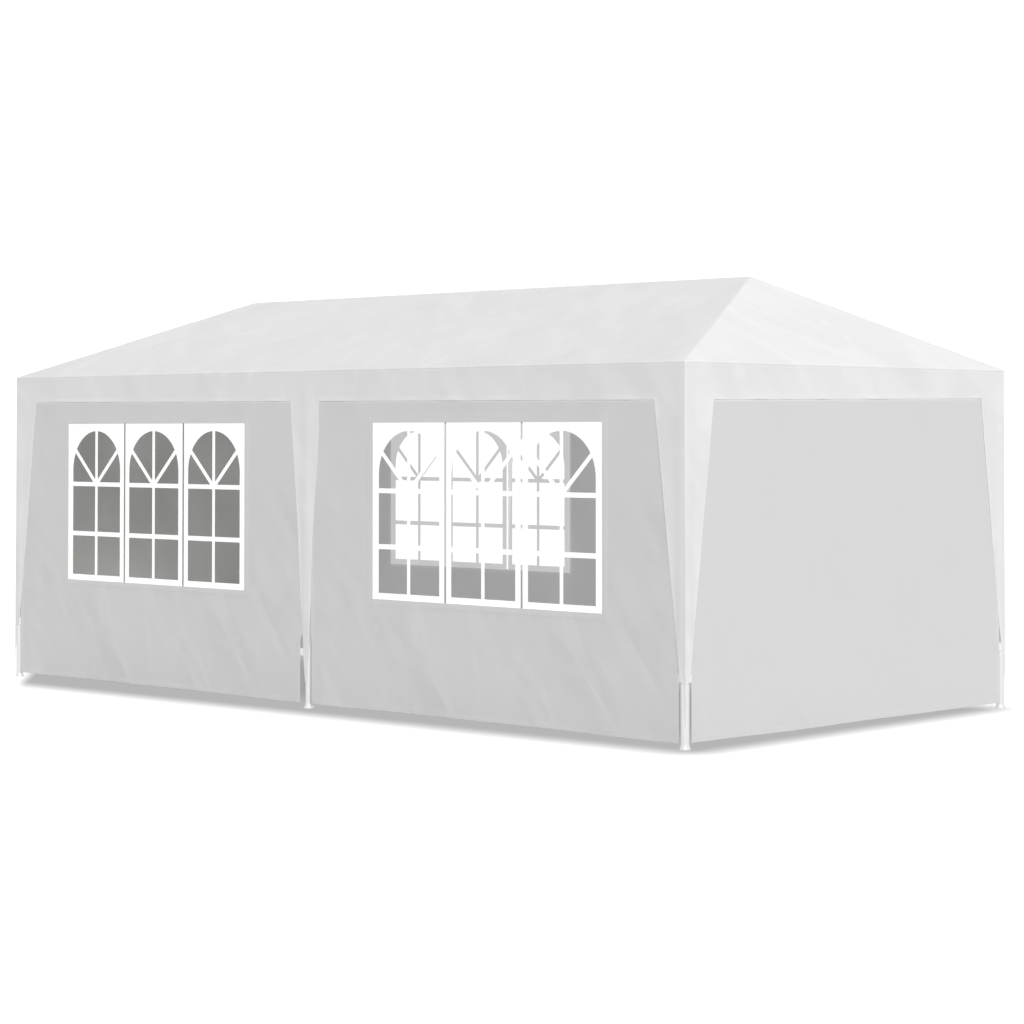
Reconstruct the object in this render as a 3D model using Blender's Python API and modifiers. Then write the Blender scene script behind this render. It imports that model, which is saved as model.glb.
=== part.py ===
"""Marquee tent of the 6 by 3 metre class: six tubular legs, a hipped tube frame, a cloth cover
with a valance and tapered leg strips, and six hanging walls, four of them with arched windows.

Metres, +Z up. +X runs along the length, the front long side faces -Y.
The origin is on the ground, in the middle of the plan.
"""
from math import atan2, cos, pi, radians, sin, tan

import bmesh
import bpy
from mathutils import Matrix, Vector

# Driving dimensions of the cover
LENGTH = 6.0
WIDTH = 2.95
EAVE_HEIGHT = 2.03
RIDGE_HEIGHT = 2.568
HIP_INSET = 0.759
VALANCE_BOTTOM = 1.845
CLOTH = 0.003
GAP = 0.0003

# Tapered strips that run from the valance down each leg
CORNER_STRIP_LONG_SIDE = 0.21
CORNER_STRIP_END = 0.24
MIDDLE_STRIP_HALF = 0.126
STRIP_TIP = 0.004
CORNER_STRIP_TIP_HEIGHT = 0.13
MIDDLE_STRIP_TIP_HEIGHT = 0.17
STRIP_TAPER_POWER = 0.9
STRIP_STEPS = 6

# Tubes of the frame
LEG_RADIUS = 0.019
TUBE_RADIUS = 0.014
TUBE_WALL = 0.0012
ROUND_SIDES = 16
FOOT_RADIUS = 0.027
FOOT_RIM = 0.006
FOOT_HEIGHT = 0.036
FOOT_FLOOR = 0.010

# Connectors: an arm for each tube, with a spigot that enters it
LEG_ARM = 0.050
EAVE_ARM = 0.060
RAFTER_ARM = 0.070
SPIGOT = 0.060
SPIGOT_CLEARANCE = 0.0005
ARM_INSET = 0.001
BALL_RINGS = 12
BALL_TURN = (0.2, 0.3, 0.4)
ARM_ROLL = 0.07
LEG_ARM_CAP = 0.003

# Walls, measured from the leg axes
WALL_BOTTOM = 0.032
WALL_ABOVE_EAVE_AXIS = 0.004
WALL_EDGE = 0.030
WALL_EDGE_WIDE = 0.055
END_WALL_EDGE = 0.036

# Window group: three arched windows side by side in each long-side wall
WINDOW_CENTRE_X = 1.498
WINDOW_PITCH = 0.6075
WINDOW_COUNT = 3
WINDOW_BOTTOM = 0.680
WINDOW_TOP = 1.718
PANE_HALF_WIDTH = 0.255
PANE_SILL = 0.720
ARCH_SPRING = 1.413
ARCH_STEPS = 12
FILM = 0.0015

# Worked out from the values above
HALF_LENGTH = LENGTH / 2
HALF_WIDTH = WIDTH / 2
COVER_OFFSET = LEG_RADIUS + GAP + CLOTH
LEG_X = HALF_LENGTH - COVER_OFFSET
LEG_Y = HALF_WIDTH - COVER_OFFSET
RISE = RIDGE_HEIGHT - EAVE_HEIGHT
RIDGE_HALF = HALF_LENGTH - HIP_INSET
SLOPE_FRONT = atan2(RISE, HALF_WIDTH)
SLOPE_HIP = atan2(RISE, HIP_INSET)
UNDER_ROOF = TUBE_RADIUS + GAP + CLOTH
EAVE_AXIS_Z = EAVE_HEIGHT - (UNDER_ROOF - COVER_OFFSET * sin(SLOPE_FRONT)) / cos(SLOPE_FRONT)
RIDGE_AXIS_Z = RIDGE_HEIGHT - UNDER_ROOF / cos(SLOPE_FRONT)
RIDGE_AXIS_X = HALF_LENGTH - (
    (RIDGE_AXIS_Z - EAVE_HEIGHT + UNDER_ROOF / cos(SLOPE_HIP)) / tan(SLOPE_HIP))
VALANCE_TOP = EAVE_HEIGHT - CLOTH / cos(SLOPE_HIP) - GAP
WALL_OFFSET = TUBE_RADIUS + GAP
FILM_OFFSET = WALL_OFFSET - GAP - FILM
BLANK_SIZE = 8.0

PARTS = "marquee_tent"
CUTTERS = "cutters"
SIDE_X = {"left": -1, "right": 1}
SIDE_Y = {"front": -1, "back": 1}


def clear_scene():
    for old in list(bpy.data.objects):
        bpy.data.objects.remove(old, do_unlink=True)


def new_collection(name):
    group = bpy.data.collections.new(name)
    bpy.context.scene.collection.children.link(group)
    return group


def material(name, color, roughness, metallic=0.0, alpha=1.0):
    made = bpy.data.materials.new(name)
    made.use_nodes = True
    shader = made.node_tree.nodes["Principled BSDF"]
    shader.inputs["Base Color"].default_value = (*color, 1.0)
    shader.inputs["Roughness"].default_value = roughness
    shader.inputs["Metallic"].default_value = metallic
    shader.inputs["Alpha"].default_value = alpha
    made.diffuse_color = (*color, alpha)
    return made


def add_part(name, data, finish):
    """Put a mesh or curve in the tent's collection, under the tent's empty."""
    piece = bpy.data.objects.new(name, data)
    data.materials.append(finish)
    bpy.data.collections[PARTS].objects.link(piece)
    piece.parent = bpy.data.objects[PARTS]
    return piece


def add_cutter(name, data):
    """Put a shape that only serves a Boolean in the cutters' collection."""
    piece = bpy.data.objects.new(name, data)
    bpy.data.collections[CUTTERS].objects.link(piece)
    piece.hide_render = True
    piece.display_type = "WIRE"
    return piece


def along(start, end):
    """A matrix that puts local Z on the line from start to end, with its origin at start."""
    direction = (end - start).normalized()
    return Matrix.Translation(start) @ direction.to_track_quat("Z", "Y").to_matrix().to_4x4()


def profile_mesh(name, points, closed):
    """A polyline in the XZ plane, ready for a Screw modifier about Z."""
    mesh = bpy.data.meshes.new(name)
    edges = [(i, i + 1) for i in range(len(points) - 1)]
    if closed:
        edges.append((len(points) - 1, 0))
    mesh.from_pydata([(radius, 0, height) for radius, height in points], edges, [])
    return mesh


def turn(piece):
    screw = piece.modifiers.new("turn", "SCREW")
    screw.angle = 2 * pi
    screw.steps = ROUND_SIDES
    screw.render_steps = ROUND_SIDES
    screw.use_merge_vertices = True
    screw.merge_threshold = 0.00001
    screw.use_smooth_shade = True


def hollow_tube(name, start, end, radius, finish):
    """An open-ended tube from start to end, which are points on its axis."""
    length = (end - start).length
    inner = radius - TUBE_WALL
    points = [(radius, length), (radius, 0), (inner, 0), (inner, length)]
    tube = add_part(name, profile_mesh(name, points, closed=True), finish)
    tube.matrix_world = along(start, end)
    turn(tube)


def leg(name, x, y, finish):
    """An upright tube with a flared foot that closes its lower end."""
    top = EAVE_AXIS_Z - LEG_ARM - GAP
    inner = LEG_RADIUS - TUBE_WALL
    points = [(0, FOOT_FLOOR), (inner, FOOT_FLOOR), (inner, top), (LEG_RADIUS, top),
              (LEG_RADIUS, FOOT_HEIGHT), (FOOT_RADIUS, FOOT_RIM), (FOOT_RADIUS, 0), (0, 0)]
    post = add_part(name, profile_mesh(name, points, closed=False), finish)
    post.location = (x, y, 0)
    turn(post)


def spigot_radius(tube_radius):
    """Just inside the flats of the tube's many-sided bore."""
    return (tube_radius - TUBE_WALL) * cos(pi / ROUND_SIDES) - SPIGOT_CLEARANCE


def arm_mesh(name, radius, length):
    """A connector's arm along Z, with its shoulder at length and its spigot beyond."""
    core = spigot_radius(radius)
    tip = length + SPIGOT
    body = radius - ARM_INSET
    root = -LEG_ARM_CAP if radius > TUBE_RADIUS else 0
    points = [(0, tip), (core, tip), (core, length), (body, length), (body, root), (0, root)]
    return profile_mesh(name, points, closed=False)


def ball_mesh(name, radius):
    mesh = bpy.data.meshes.new(name)
    bm = bmesh.new()
    bmesh.ops.create_uvsphere(bm, u_segments=ROUND_SIDES, v_segments=BALL_RINGS, radius=radius)
    bm.to_mesh(mesh)
    bm.free()
    return mesh


def connector(name, centre, arms, finish):
    """Arms joined round one point. Each arm is (point it aims at, tube radius, arm length)."""
    hub = add_part(name, ball_mesh(name, TUBE_RADIUS), finish)
    hub.location = centre
    hub.rotation_euler = BALL_TURN
    for number, (target, radius, length) in enumerate(arms):
        arm_name = f"{name}_arm_{number}"
        arm = add_cutter(arm_name, arm_mesh(arm_name, radius, length))
        roll = Matrix.Rotation(ARM_ROLL * (number + 1), 4, "Z")
        arm.matrix_world = along(centre, target) @ roll
        turn(arm)
        join = hub.modifiers.new(arm_name, "BOOLEAN")
        join.operation = "UNION"
        join.solver = "EXACT"
        join.object = arm


def between(name, start, end, start_arm, end_arm, radius, finish):
    """A tube that fills the run between two connectors' shoulders."""
    direction = (end - start).normalized()
    first = start + direction * (start_arm + GAP)
    last = end - direction * (end_arm + GAP)
    hollow_tube(name, first, last, radius, finish)


def trimmed_block(name, planes, finish):
    """A blank cut by planes, each a point and a normal that points to the waste."""
    mesh = bpy.data.meshes.new(name)
    bm = bmesh.new()
    bmesh.ops.create_cube(bm, size=BLANK_SIZE)
    for point, normal in planes:
        everything = bm.verts[:] + bm.edges[:] + bm.faces[:]
        cut = bmesh.ops.bisect_plane(
            bm, geom=everything, plane_co=point, plane_no=normal, clear_outer=True)
        rim = [item for item in cut["geom_cut"] if isinstance(item, bmesh.types.BMEdge)]
        bmesh.ops.contextual_create(bm, geom=rim)
    bmesh.ops.recalc_face_normals(bm, faces=bm.faces[:])
    bm.to_mesh(mesh)
    bm.free()
    return add_part(name, mesh, finish)


def flat_sheet(name, outlines, thickness, finish):
    """A plate cut from one outline, less the holes that the other outlines give."""
    curve = bpy.data.curves.new(name, "CURVE")
    curve.dimensions = "2D"
    curve.fill_mode = "BOTH"
    curve.extrude = thickness / 2
    for outline in outlines:
        spline = curve.splines.new("POLY")
        spline.points.add(len(outline) - 1)
        for point, (across, up) in zip(spline.points, outline):
            point.co = (across, up, 0, 1)
        spline.use_cyclic_u = True
    return add_part(name, curve, finish)


def stand_on_long_side(piece, side, offset, thickness):
    """Stand a flat sheet parallel to XZ, its inner face that far outside the leg axes."""
    piece.rotation_euler = (radians(90), 0, 0)
    piece.location = (0, SIDE_Y[side] * (LEG_Y + offset + thickness / 2), 0)


def stand_on_end(piece, side, offset, thickness):
    """Stand a flat sheet parallel to YZ, its inner face that far outside the leg axes."""
    piece.rotation_euler = (radians(90), 0, radians(90))
    piece.location = (SIDE_X[side] * (LEG_X + offset + thickness / 2), 0, 0)


def eave_node(x_sign, y_sign):
    return Vector((x_sign * LEG_X, y_sign * LEG_Y, EAVE_AXIS_Z))


def ridge_node(x_sign):
    return Vector((x_sign * RIDGE_AXIS_X, 0, RIDGE_AXIS_Z))


def make_legs(finish):
    for side, y_sign in SIDE_Y.items():
        for place, x_sign in (("left", -1), ("middle", 0), ("right", 1)):
            leg(f"leg_{side}_{place}", x_sign * LEG_X, y_sign * LEG_Y, finish)


def make_tubes(finish):
    """Eave tubes, rafters and ridge tubes."""
    for side, y_sign in SIDE_Y.items():
        middle = eave_node(0, y_sign)
        between(f"middle_rafter_{side}", middle, ridge_node(0), RAFTER_ARM, RAFTER_ARM,
                TUBE_RADIUS, finish)
        for end, x_sign in SIDE_X.items():
            corner = eave_node(x_sign, y_sign)
            between(f"eave_tube_{side}_{end}", corner, middle, EAVE_ARM, EAVE_ARM,
                    TUBE_RADIUS, finish)
            between(f"hip_rafter_{side}_{end}", corner, ridge_node(x_sign),
                    RAFTER_ARM, RAFTER_ARM, TUBE_RADIUS, finish)
    for end, x_sign in SIDE_X.items():
        between(f"eave_tube_{end}_end", eave_node(x_sign, -1), eave_node(x_sign, 1),
                EAVE_ARM, EAVE_ARM, TUBE_RADIUS, finish)
        between(f"ridge_tube_{end}", ridge_node(x_sign), ridge_node(0), EAVE_ARM, EAVE_ARM,
                TUBE_RADIUS, finish)


def make_connectors(finish):
    down = Vector((0, 0, -1))
    for side, y_sign in SIDE_Y.items():
        middle = eave_node(0, y_sign)
        connector(f"eave_connector_{side}", middle, [
            (middle + down, LEG_RADIUS, LEG_ARM),
            (eave_node(-1, y_sign), TUBE_RADIUS, EAVE_ARM),
            (eave_node(1, y_sign), TUBE_RADIUS, EAVE_ARM),
            (ridge_node(0), TUBE_RADIUS, RAFTER_ARM)], finish)
        for end, x_sign in SIDE_X.items():
            corner = eave_node(x_sign, y_sign)
            connector(f"corner_connector_{side}_{end}", corner, [
                (corner + down, LEG_RADIUS, LEG_ARM),
                (middle, TUBE_RADIUS, EAVE_ARM),
                (eave_node(x_sign, -y_sign), TUBE_RADIUS, EAVE_ARM),
                (ridge_node(x_sign), TUBE_RADIUS, RAFTER_ARM)], finish)
    for end, x_sign in SIDE_X.items():
        connector(f"ridge_connector_{end}", ridge_node(x_sign), [
            (ridge_node(0), TUBE_RADIUS, EAVE_ARM),
            (eave_node(x_sign, -1), TUBE_RADIUS, RAFTER_ARM),
            (eave_node(x_sign, 1), TUBE_RADIUS, RAFTER_ARM)], finish)
    connector("ridge_connector_middle", ridge_node(0), [
        (ridge_node(-1), TUBE_RADIUS, EAVE_ARM),
        (ridge_node(1), TUBE_RADIUS, EAVE_ARM),
        (eave_node(0, -1), TUBE_RADIUS, RAFTER_ARM),
        (eave_node(0, 1), TUBE_RADIUS, RAFTER_ARM)], finish)


def make_roof(finish):
    """Four cloth slopes, mitred along the hips and the ridge."""
    half_seam = GAP / 2
    slope_normal = {side: Vector((0, sign * sin(SLOPE_FRONT), cos(SLOPE_FRONT)))
                    for side, sign in SIDE_Y.items()}
    hip_normal = {end: Vector((sign * sin(SLOPE_HIP), 0, cos(SLOPE_HIP)))
                  for end, sign in SIDE_X.items()}
    for side, y_sign in SIDE_Y.items():
        normal = slope_normal[side]
        ridge_point = Vector((0, 0, RIDGE_HEIGHT))
        planes = [(ridge_point, normal),
                  (ridge_point - normal * CLOTH, -normal),
                  (Vector((0, y_sign * HALF_WIDTH, 0)), Vector((0, y_sign, 0))),
                  (Vector((0, y_sign * half_seam, 0)), Vector((0, -y_sign, 0)))]
        for end, x_sign in SIDE_X.items():
            mitre = (hip_normal[end] - normal).normalized()
            apex = Vector((x_sign * RIDGE_HALF, 0, RIDGE_HEIGHT))
            planes.append((apex - mitre * half_seam, mitre))
        trimmed_block(f"roof_{side}", planes, finish)
    for end, x_sign in SIDE_X.items():
        normal = hip_normal[end]
        apex = Vector((x_sign * RIDGE_HALF, 0, RIDGE_HEIGHT))
        planes = [(apex, normal),
                  (apex - normal * CLOTH, -normal),
                  (Vector((x_sign * HALF_LENGTH, 0, 0)), Vector((x_sign, 0, 0)))]
        for side in SIDE_Y:
            mitre = (slope_normal[side] - normal).normalized()
            planes.append((apex - mitre * half_seam, mitre))
        trimmed_block(f"roof_{end}_hip", planes, finish)


def strip_width(full_width, share):
    """Width of a leg strip at a share of its height, from its tip to the valance."""
    return STRIP_TIP + (full_width - STRIP_TIP) * share ** STRIP_TAPER_POWER


def strip_levels(tip_height):
    """The heights that shape a leg strip, each with its share of the way up."""
    top = VALANCE_BOTTOM - GAP
    for step in range(STRIP_STEPS + 1):
        share = step / STRIP_STEPS
        yield share, tip_height + (top - tip_height) * share


def middle_strip_outline():
    """The flat strip over a middle leg, widest where it leaves the valance."""
    right = [(strip_width(MIDDLE_STRIP_HALF, share), up)
             for share, up in strip_levels(MIDDLE_STRIP_TIP_HEIGHT)]
    return right + [(-across, up) for across, up in reversed(right)]


def corner_strip(name, x_sign, y_sign, finish):
    """A strip folded round a corner: an open surface of two tapering sides, then its thickness."""
    mesh = bpy.data.meshes.new(name)
    bm = bmesh.new()
    rows = []
    for share, up in strip_levels(CORNER_STRIP_TIP_HEIGHT):
        long_side = HALF_LENGTH - strip_width(CORNER_STRIP_LONG_SIDE, share)
        end_side = HALF_WIDTH - strip_width(CORNER_STRIP_END, share)
        section = [(long_side, HALF_WIDTH), (HALF_LENGTH, HALF_WIDTH), (HALF_LENGTH, end_side)]
        rows.append([bm.verts.new((x_sign * x, y_sign * y, up)) for x, y in section])
    for lower, upper in zip(rows, rows[1:]):
        for side in range(2):
            bm.faces.new((lower[side], lower[side + 1], upper[side + 1], upper[side]))
    if x_sign * y_sign > 0:
        bmesh.ops.reverse_faces(bm, faces=bm.faces[:])
    bm.to_mesh(mesh)
    bm.free()
    strip = add_part(name, mesh, finish)
    thicken = strip.modifiers.new("cloth", "SOLIDIFY")
    thicken.thickness = CLOTH
    thicken.offset = -1
    thicken.use_even_offset = True


def make_valances(finish):
    long_side = rectangle(-HALF_LENGTH, HALF_LENGTH, VALANCE_BOTTOM, VALANCE_TOP)
    half_end = HALF_WIDTH - CLOTH - GAP
    end_side = rectangle(-half_end, half_end, VALANCE_BOTTOM, VALANCE_TOP)
    for side in SIDE_Y:
        band = flat_sheet(f"valance_{side}", [long_side], CLOTH, finish)
        stand_on_long_side(band, side, LEG_RADIUS + GAP, CLOTH)
    for end in SIDE_X:
        band = flat_sheet(f"valance_{end}", [end_side], CLOTH, finish)
        stand_on_end(band, end, LEG_RADIUS + GAP, CLOTH)


def make_leg_strips(finish):
    for side, y_sign in SIDE_Y.items():
        strip = flat_sheet(f"middle_strip_{side}", [middle_strip_outline()], CLOTH, finish)
        stand_on_long_side(strip, side, LEG_RADIUS + GAP, CLOTH)
        for end, x_sign in SIDE_X.items():
            corner_strip(f"corner_strip_{side}_{end}", x_sign, y_sign, finish)


def rectangle(low, high, bottom, top):
    return [(low, bottom), (high, bottom), (high, top), (low, top)]


def arched_pane(centre):
    """The clear opening of one window: straight sides with a half-round head."""
    points = [(centre - PANE_HALF_WIDTH, PANE_SILL), (centre + PANE_HALF_WIDTH, PANE_SILL)]
    for step in range(ARCH_STEPS + 1):
        angle = pi * step / ARCH_STEPS
        points.append((centre + PANE_HALF_WIDTH * cos(angle),
                       ARCH_SPRING + PANE_HALF_WIDTH * sin(angle)))
    return points


def make_walls(wall_finish, film_finish):
    wall_top = EAVE_AXIS_Z + WALL_ABOVE_EAVE_AXIS
    middle_edge = {"left": WALL_EDGE_WIDE, "right": WALL_EDGE}
    film_half = WINDOW_PITCH * WINDOW_COUNT / 2
    for side in SIDE_Y:
        for end, x_sign in SIDE_X.items():
            edges = sorted((x_sign * (LEG_X - WALL_EDGE), x_sign * middle_edge[end]))
            outlines = [rectangle(*edges, WALL_BOTTOM, wall_top)]
            centre = x_sign * WINDOW_CENTRE_X
            for number in range(WINDOW_COUNT):
                shift = WINDOW_PITCH * (number - (WINDOW_COUNT - 1) / 2)
                outlines.append(arched_pane(centre + shift))
            wall = flat_sheet(f"wall_{side}_{end}", outlines, CLOTH, wall_finish)
            stand_on_long_side(wall, side, WALL_OFFSET, CLOTH)
            pane = rectangle(centre - film_half, centre + film_half, WINDOW_BOTTOM, WINDOW_TOP)
            film = flat_sheet(f"window_film_{side}_{end}", [pane], FILM, film_finish)
            stand_on_long_side(film, side, FILM_OFFSET, FILM)
    half_end_wall = LEG_Y - END_WALL_EDGE
    for end in SIDE_X:
        outline = rectangle(-half_end_wall, half_end_wall, WALL_BOTTOM, wall_top)
        wall = flat_sheet(f"wall_{end}", [outline], CLOTH, wall_finish)
        stand_on_end(wall, end, WALL_OFFSET, CLOTH)


def main():
    clear_scene()
    parts = new_collection(PARTS)
    new_collection(CUTTERS)
    parts.objects.link(bpy.data.objects.new(PARTS, None))

    tube_paint = material("white_tube_paint", (0.86, 0.87, 0.87), 0.35)
    connector_plastic = material("white_connector_plastic", (0.82, 0.83, 0.83), 0.5)
    cover_cloth = material("white_cover_cloth", (0.88, 0.88, 0.88), 0.6)
    wall_cloth = material("white_wall_cloth", (0.80, 0.80, 0.80), 0.6)
    clear_film = material("clear_window_film", (0.85, 0.87, 0.87), 0.15, alpha=0.35)

    make_legs(tube_paint)
    make_tubes(tube_paint)
    make_connectors(connector_plastic)
    make_roof(cover_cloth)
    make_valances(cover_cloth)
    make_leg_strips(cover_cloth)
    make_walls(wall_cloth, clear_film)


main()
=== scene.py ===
from functools import partial
from itertools import groupby
from math import atan2, ceil, copysign, cos, hypot, pi, radians, sin

import bmesh
import bpy
import numpy as np
from mathutils import Matrix, Vector


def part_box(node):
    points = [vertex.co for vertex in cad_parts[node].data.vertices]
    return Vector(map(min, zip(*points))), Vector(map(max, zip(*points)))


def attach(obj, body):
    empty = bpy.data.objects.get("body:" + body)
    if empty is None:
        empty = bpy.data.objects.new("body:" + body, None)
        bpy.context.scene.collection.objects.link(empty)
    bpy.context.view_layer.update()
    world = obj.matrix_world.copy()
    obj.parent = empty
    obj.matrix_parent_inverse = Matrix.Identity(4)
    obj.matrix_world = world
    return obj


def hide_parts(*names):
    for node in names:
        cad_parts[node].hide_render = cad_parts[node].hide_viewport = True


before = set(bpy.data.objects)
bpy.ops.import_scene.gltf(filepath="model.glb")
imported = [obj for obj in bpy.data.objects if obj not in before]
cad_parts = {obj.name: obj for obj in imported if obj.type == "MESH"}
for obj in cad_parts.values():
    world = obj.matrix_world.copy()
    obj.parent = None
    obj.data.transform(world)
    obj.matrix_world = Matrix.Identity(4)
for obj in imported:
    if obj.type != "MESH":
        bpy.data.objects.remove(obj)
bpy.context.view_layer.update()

# Looks of the marquee tent: one sewn cover, six hanging walls, printed windows in clear film,
# powder-coated tubes, webbing ties and stitches. Metres, +Z up, in the frame of the solids.

BODY = "root"
SIDE_X = {"left": -1, "right": 1}
SIDE_Y = {"front": -1, "back": 1}
SMALL = 0.0001
# Points closer than this are joined
WELD = 0.00002

# Cloth. Hems and bands have a row of points this far to either side of their edge.
CLOTH = 0.0008
HEM_CLOTH = 0.0013
HEM = 0.015
STEP_IN_BAND = 0.001
WEAVE_PITCH = 0.0032
WEAVE_HEIGHT = 0.00012

# Cover
EAVE_HEIGHT = 2.035
RIDGE_HEIGHT = 2.5715
HIP_INSET = 0.759
ROOF_FOLD = 0.0025
EAVE_FOLD = 0.0011
CORNER_FOLD = 0.0006
LONG_SAG = 0.011
END_SAG = 0.007
BAND_RISE = 0.0001
COVER_HEM_RISE = 0.0003
# Next to a leg and away from one: how far the valance leans in, and how far in it may come
BESIDE_LEG = (0.022, 0.048)
VALANCE_LEAN = (0.0003, 0.0030)
CLOSEST = (-0.0005, -0.0032)
LEAN_FROM, LEAN_OVER = 0.03, 0.13
VALANCE_DEPTH = 0.1882
VALANCE_TWIST = 0.0037
TWIST_FROM, TWIST_OVER = 0.045, 0.10
EAVE_BAND = (0.0095, 0.026)
ROOF_STEP = 0.034
LOOP_STEP = 0.040
VALANCE_STEP = 0.022
STRIP_STEP = 0.022
# Leg strips, from the tip up: height, then the reach to either side of the corner or the leg
CORNER_STRIP = ((0.130, 0.002, 0.002), (0.343, 0.015, 0.018), (0.362, 0.040, 0.040),
                (0.42, 0.048, 0.048), (0.494, 0.058, 0.057), (0.675, 0.079, 0.083),
                (0.88, 0.104, 0.111), (1.09, 0.129, 0.139), (1.30, 0.153, 0.167),
                (1.51, 0.178, 0.197), (1.845, 0.221, 0.238))
MIDDLE_STRIP = ((0.155, 0.009, 0.008), (0.19, 0.0125, 0.011), (0.25, 0.019, 0.013),
                (0.29, 0.0225, 0.017), (0.335, 0.025, 0.0255), (0.407, 0.030, 0.026),
                (0.527, 0.0445, 0.032), (0.647, 0.055, 0.0365), (0.767, 0.062, 0.040),
                (1.006, 0.077, 0.048), (1.246, 0.098, 0.070), (1.486, 0.119, 0.095),
                (1.665, 0.136, 0.106), (1.845, 0.153, 0.105))
CORNER_STRIP_LONG_SIDE, CORNER_STRIP_END = CORNER_STRIP[-1][1:]
MIDDLE_STRIP_LEFT, MIDDLE_STRIP_RIGHT = MIDDLE_STRIP[-1][1:]
ROOF_RIPPLES = dict(seed=11, count=14, wavelength=0.42, height=0.0007)
ROOF_CREASES = dict(seed=23, count=90, area=(-3, 3, -1.5, -0.02), angle=(130, 16),
                    length=(0.25, 0.7), width=(0.08, 0.14), height=0.0012)
VALANCE_RIPPLES = dict(seed=31, count=9, wavelength=0.36, height=0.0010)
VALANCE_CREASES = dict(seed=37, count=60, area=(-3, 3, 0.05, 0.2), angle=(66, 14),
                       length=(0.10, 0.22), width=(0.04, 0.07), height=0.0012)

# Walls and their window groups
WALL_STEP = 0.021
WALL_HEM = 0.022
WALL_LIFT = 0.003
WALL_HEM_RISE = 0.0002
WALL_RIPPLES = dict(count=10, wavelength=0.55, height=0.0010)
WALL_CREASES = dict(count=34, angle=(-56, 9), length=(0.25, 0.55), width=(0.07, 0.12),
                    height=0.0012)
UPPER_CREASES = dict(count=16, angle=(-48, 30), length=(0.15, 0.35), width=(0.06, 0.09),
                     height=0.0008)
# From the middle leg to a wall's edge, and how far that edge is drawn back near the ground:
# fully below the first height, and not at all above the second
MIDDLE_EDGE = {"left": (0.036, 0.024), "right": (0.034, 0)}
DRAWN_BELOW = (0.405, 0.45)
DRAWN_WIDTH = 0.4
END_EDGE_OUT = 0.004
WINDOW_GROUP_X = 1.4965
WINDOW_PITCH = 0.6075
WINDOW_COUNT = 3
GROUP_HALF = WINDOW_PITCH * WINDOW_COUNT / 2
WINDOW_BOTTOM = 0.684
WINDOW_TOP = 1.718
WINDOW_SEAM = 0.034
SEPARATOR = 0.015
PRINT_UNDER = 0.004
PANE_HALF_WIDTH = 0.255
PANE_SILL = 0.721
ARCH_SPRING = 1.413
UPRIGHT_BAR = 0.026
CROSS_BARS = ((0.977, 1.006), (1.304, 1.332))
SPOKE_END = (0.224, 1.537)
ARCH_STEPS = 32
FILM = 0.0005
PRINT = 0.0004
FILM_OVERLAP = 0.022

# Frame
EAVE_ARM = 0.060
RAFTER_ARM = 0.070
GAP = 0.0003
LEG_RADIUS = 0.019
SLEEVE_RADIUS = {"corner": 0.0232, "middle": 0.0190}
SLEEVE_TOP = 0.338
SLEEVE_STEP = 0.004
TUBE_RADIUS = 0.014
TUBE_WALL = 0.0012
TUBE_EASE = TUBE_WALL * 0.35
TUBE_SIDES = 32
FOOT_RADIUS = 0.0295
FOOT_RIM = 0.007
FOOT_EASE = 0.0012
FOOT_HEIGHT = 0.036
FOOT_FLOOR = 0.010
FLARE_STEPS = 8
FLARE_POWER = 2.2

# Small things
STITCHES = {"Pitch": 0.010, "Length": 0.0065, "Radius": 0.0005}
SCREWS = {"Radius": 0.0042, "Height": 0.0022}
SCREW_PAST_ARM = 0.018
SCREW_PROUD = 0.0006
LOOPS = {"Spacing": 0.53, "Radius": TUBE_RADIUS + GAP + 0.0006, "Width": 0.022,
         "Thickness": 0.0010}
LOOP_INSET = 0.16
TIE_HEIGHT = 0.044
TIE_THICKNESS = 0.0011
TIE_EDGE = 0.0022
TIE_INSIDE = 0.006
TIE_LEVELS = (0.375, 0.95, 1.53)
MIDDLE_TIE_LEVELS = (0.337, 0.93, 1.51)
SEWN_PROUD = 0.0007

# Studio
FLOOR_HALF = 90
# How far past each edge of the tent's shade a place is, in widths of that soft edge:
# the factors of x and y, and a constant
SHADE_EDGES = ((0.079, -2.083, -3.15), (2.5, 0.10, -7.30), (0, 1.704, -2.112),
               (-5.152, -6.12, -23.353), (-2.2, 0, -7.0))
SHADE_DEEP = (0.384, 0.300)
SHADE_CAST = (0.72, 0.4)
BACKDROP = 1.22
AMBIENT = 0.434
# Where each light comes from, its energy and its spread
LIGHTS = {"soft_key": ((0.626, -0.46, 0.46), 2.93, 35),
          "far_fill": ((-0.62, 0.70, 0.10), 1.5, 16)}
CAMERA_PLACE = (11.973, -11.932, 1.655)
CAMERA_TURN = (91.404, 0, 44.397)
CAMERA_LENS = 92.43
CAMERA_SHIFT = -0.14


def centre_of(node):
    low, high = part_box(node)
    return (low + high) / 2


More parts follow.
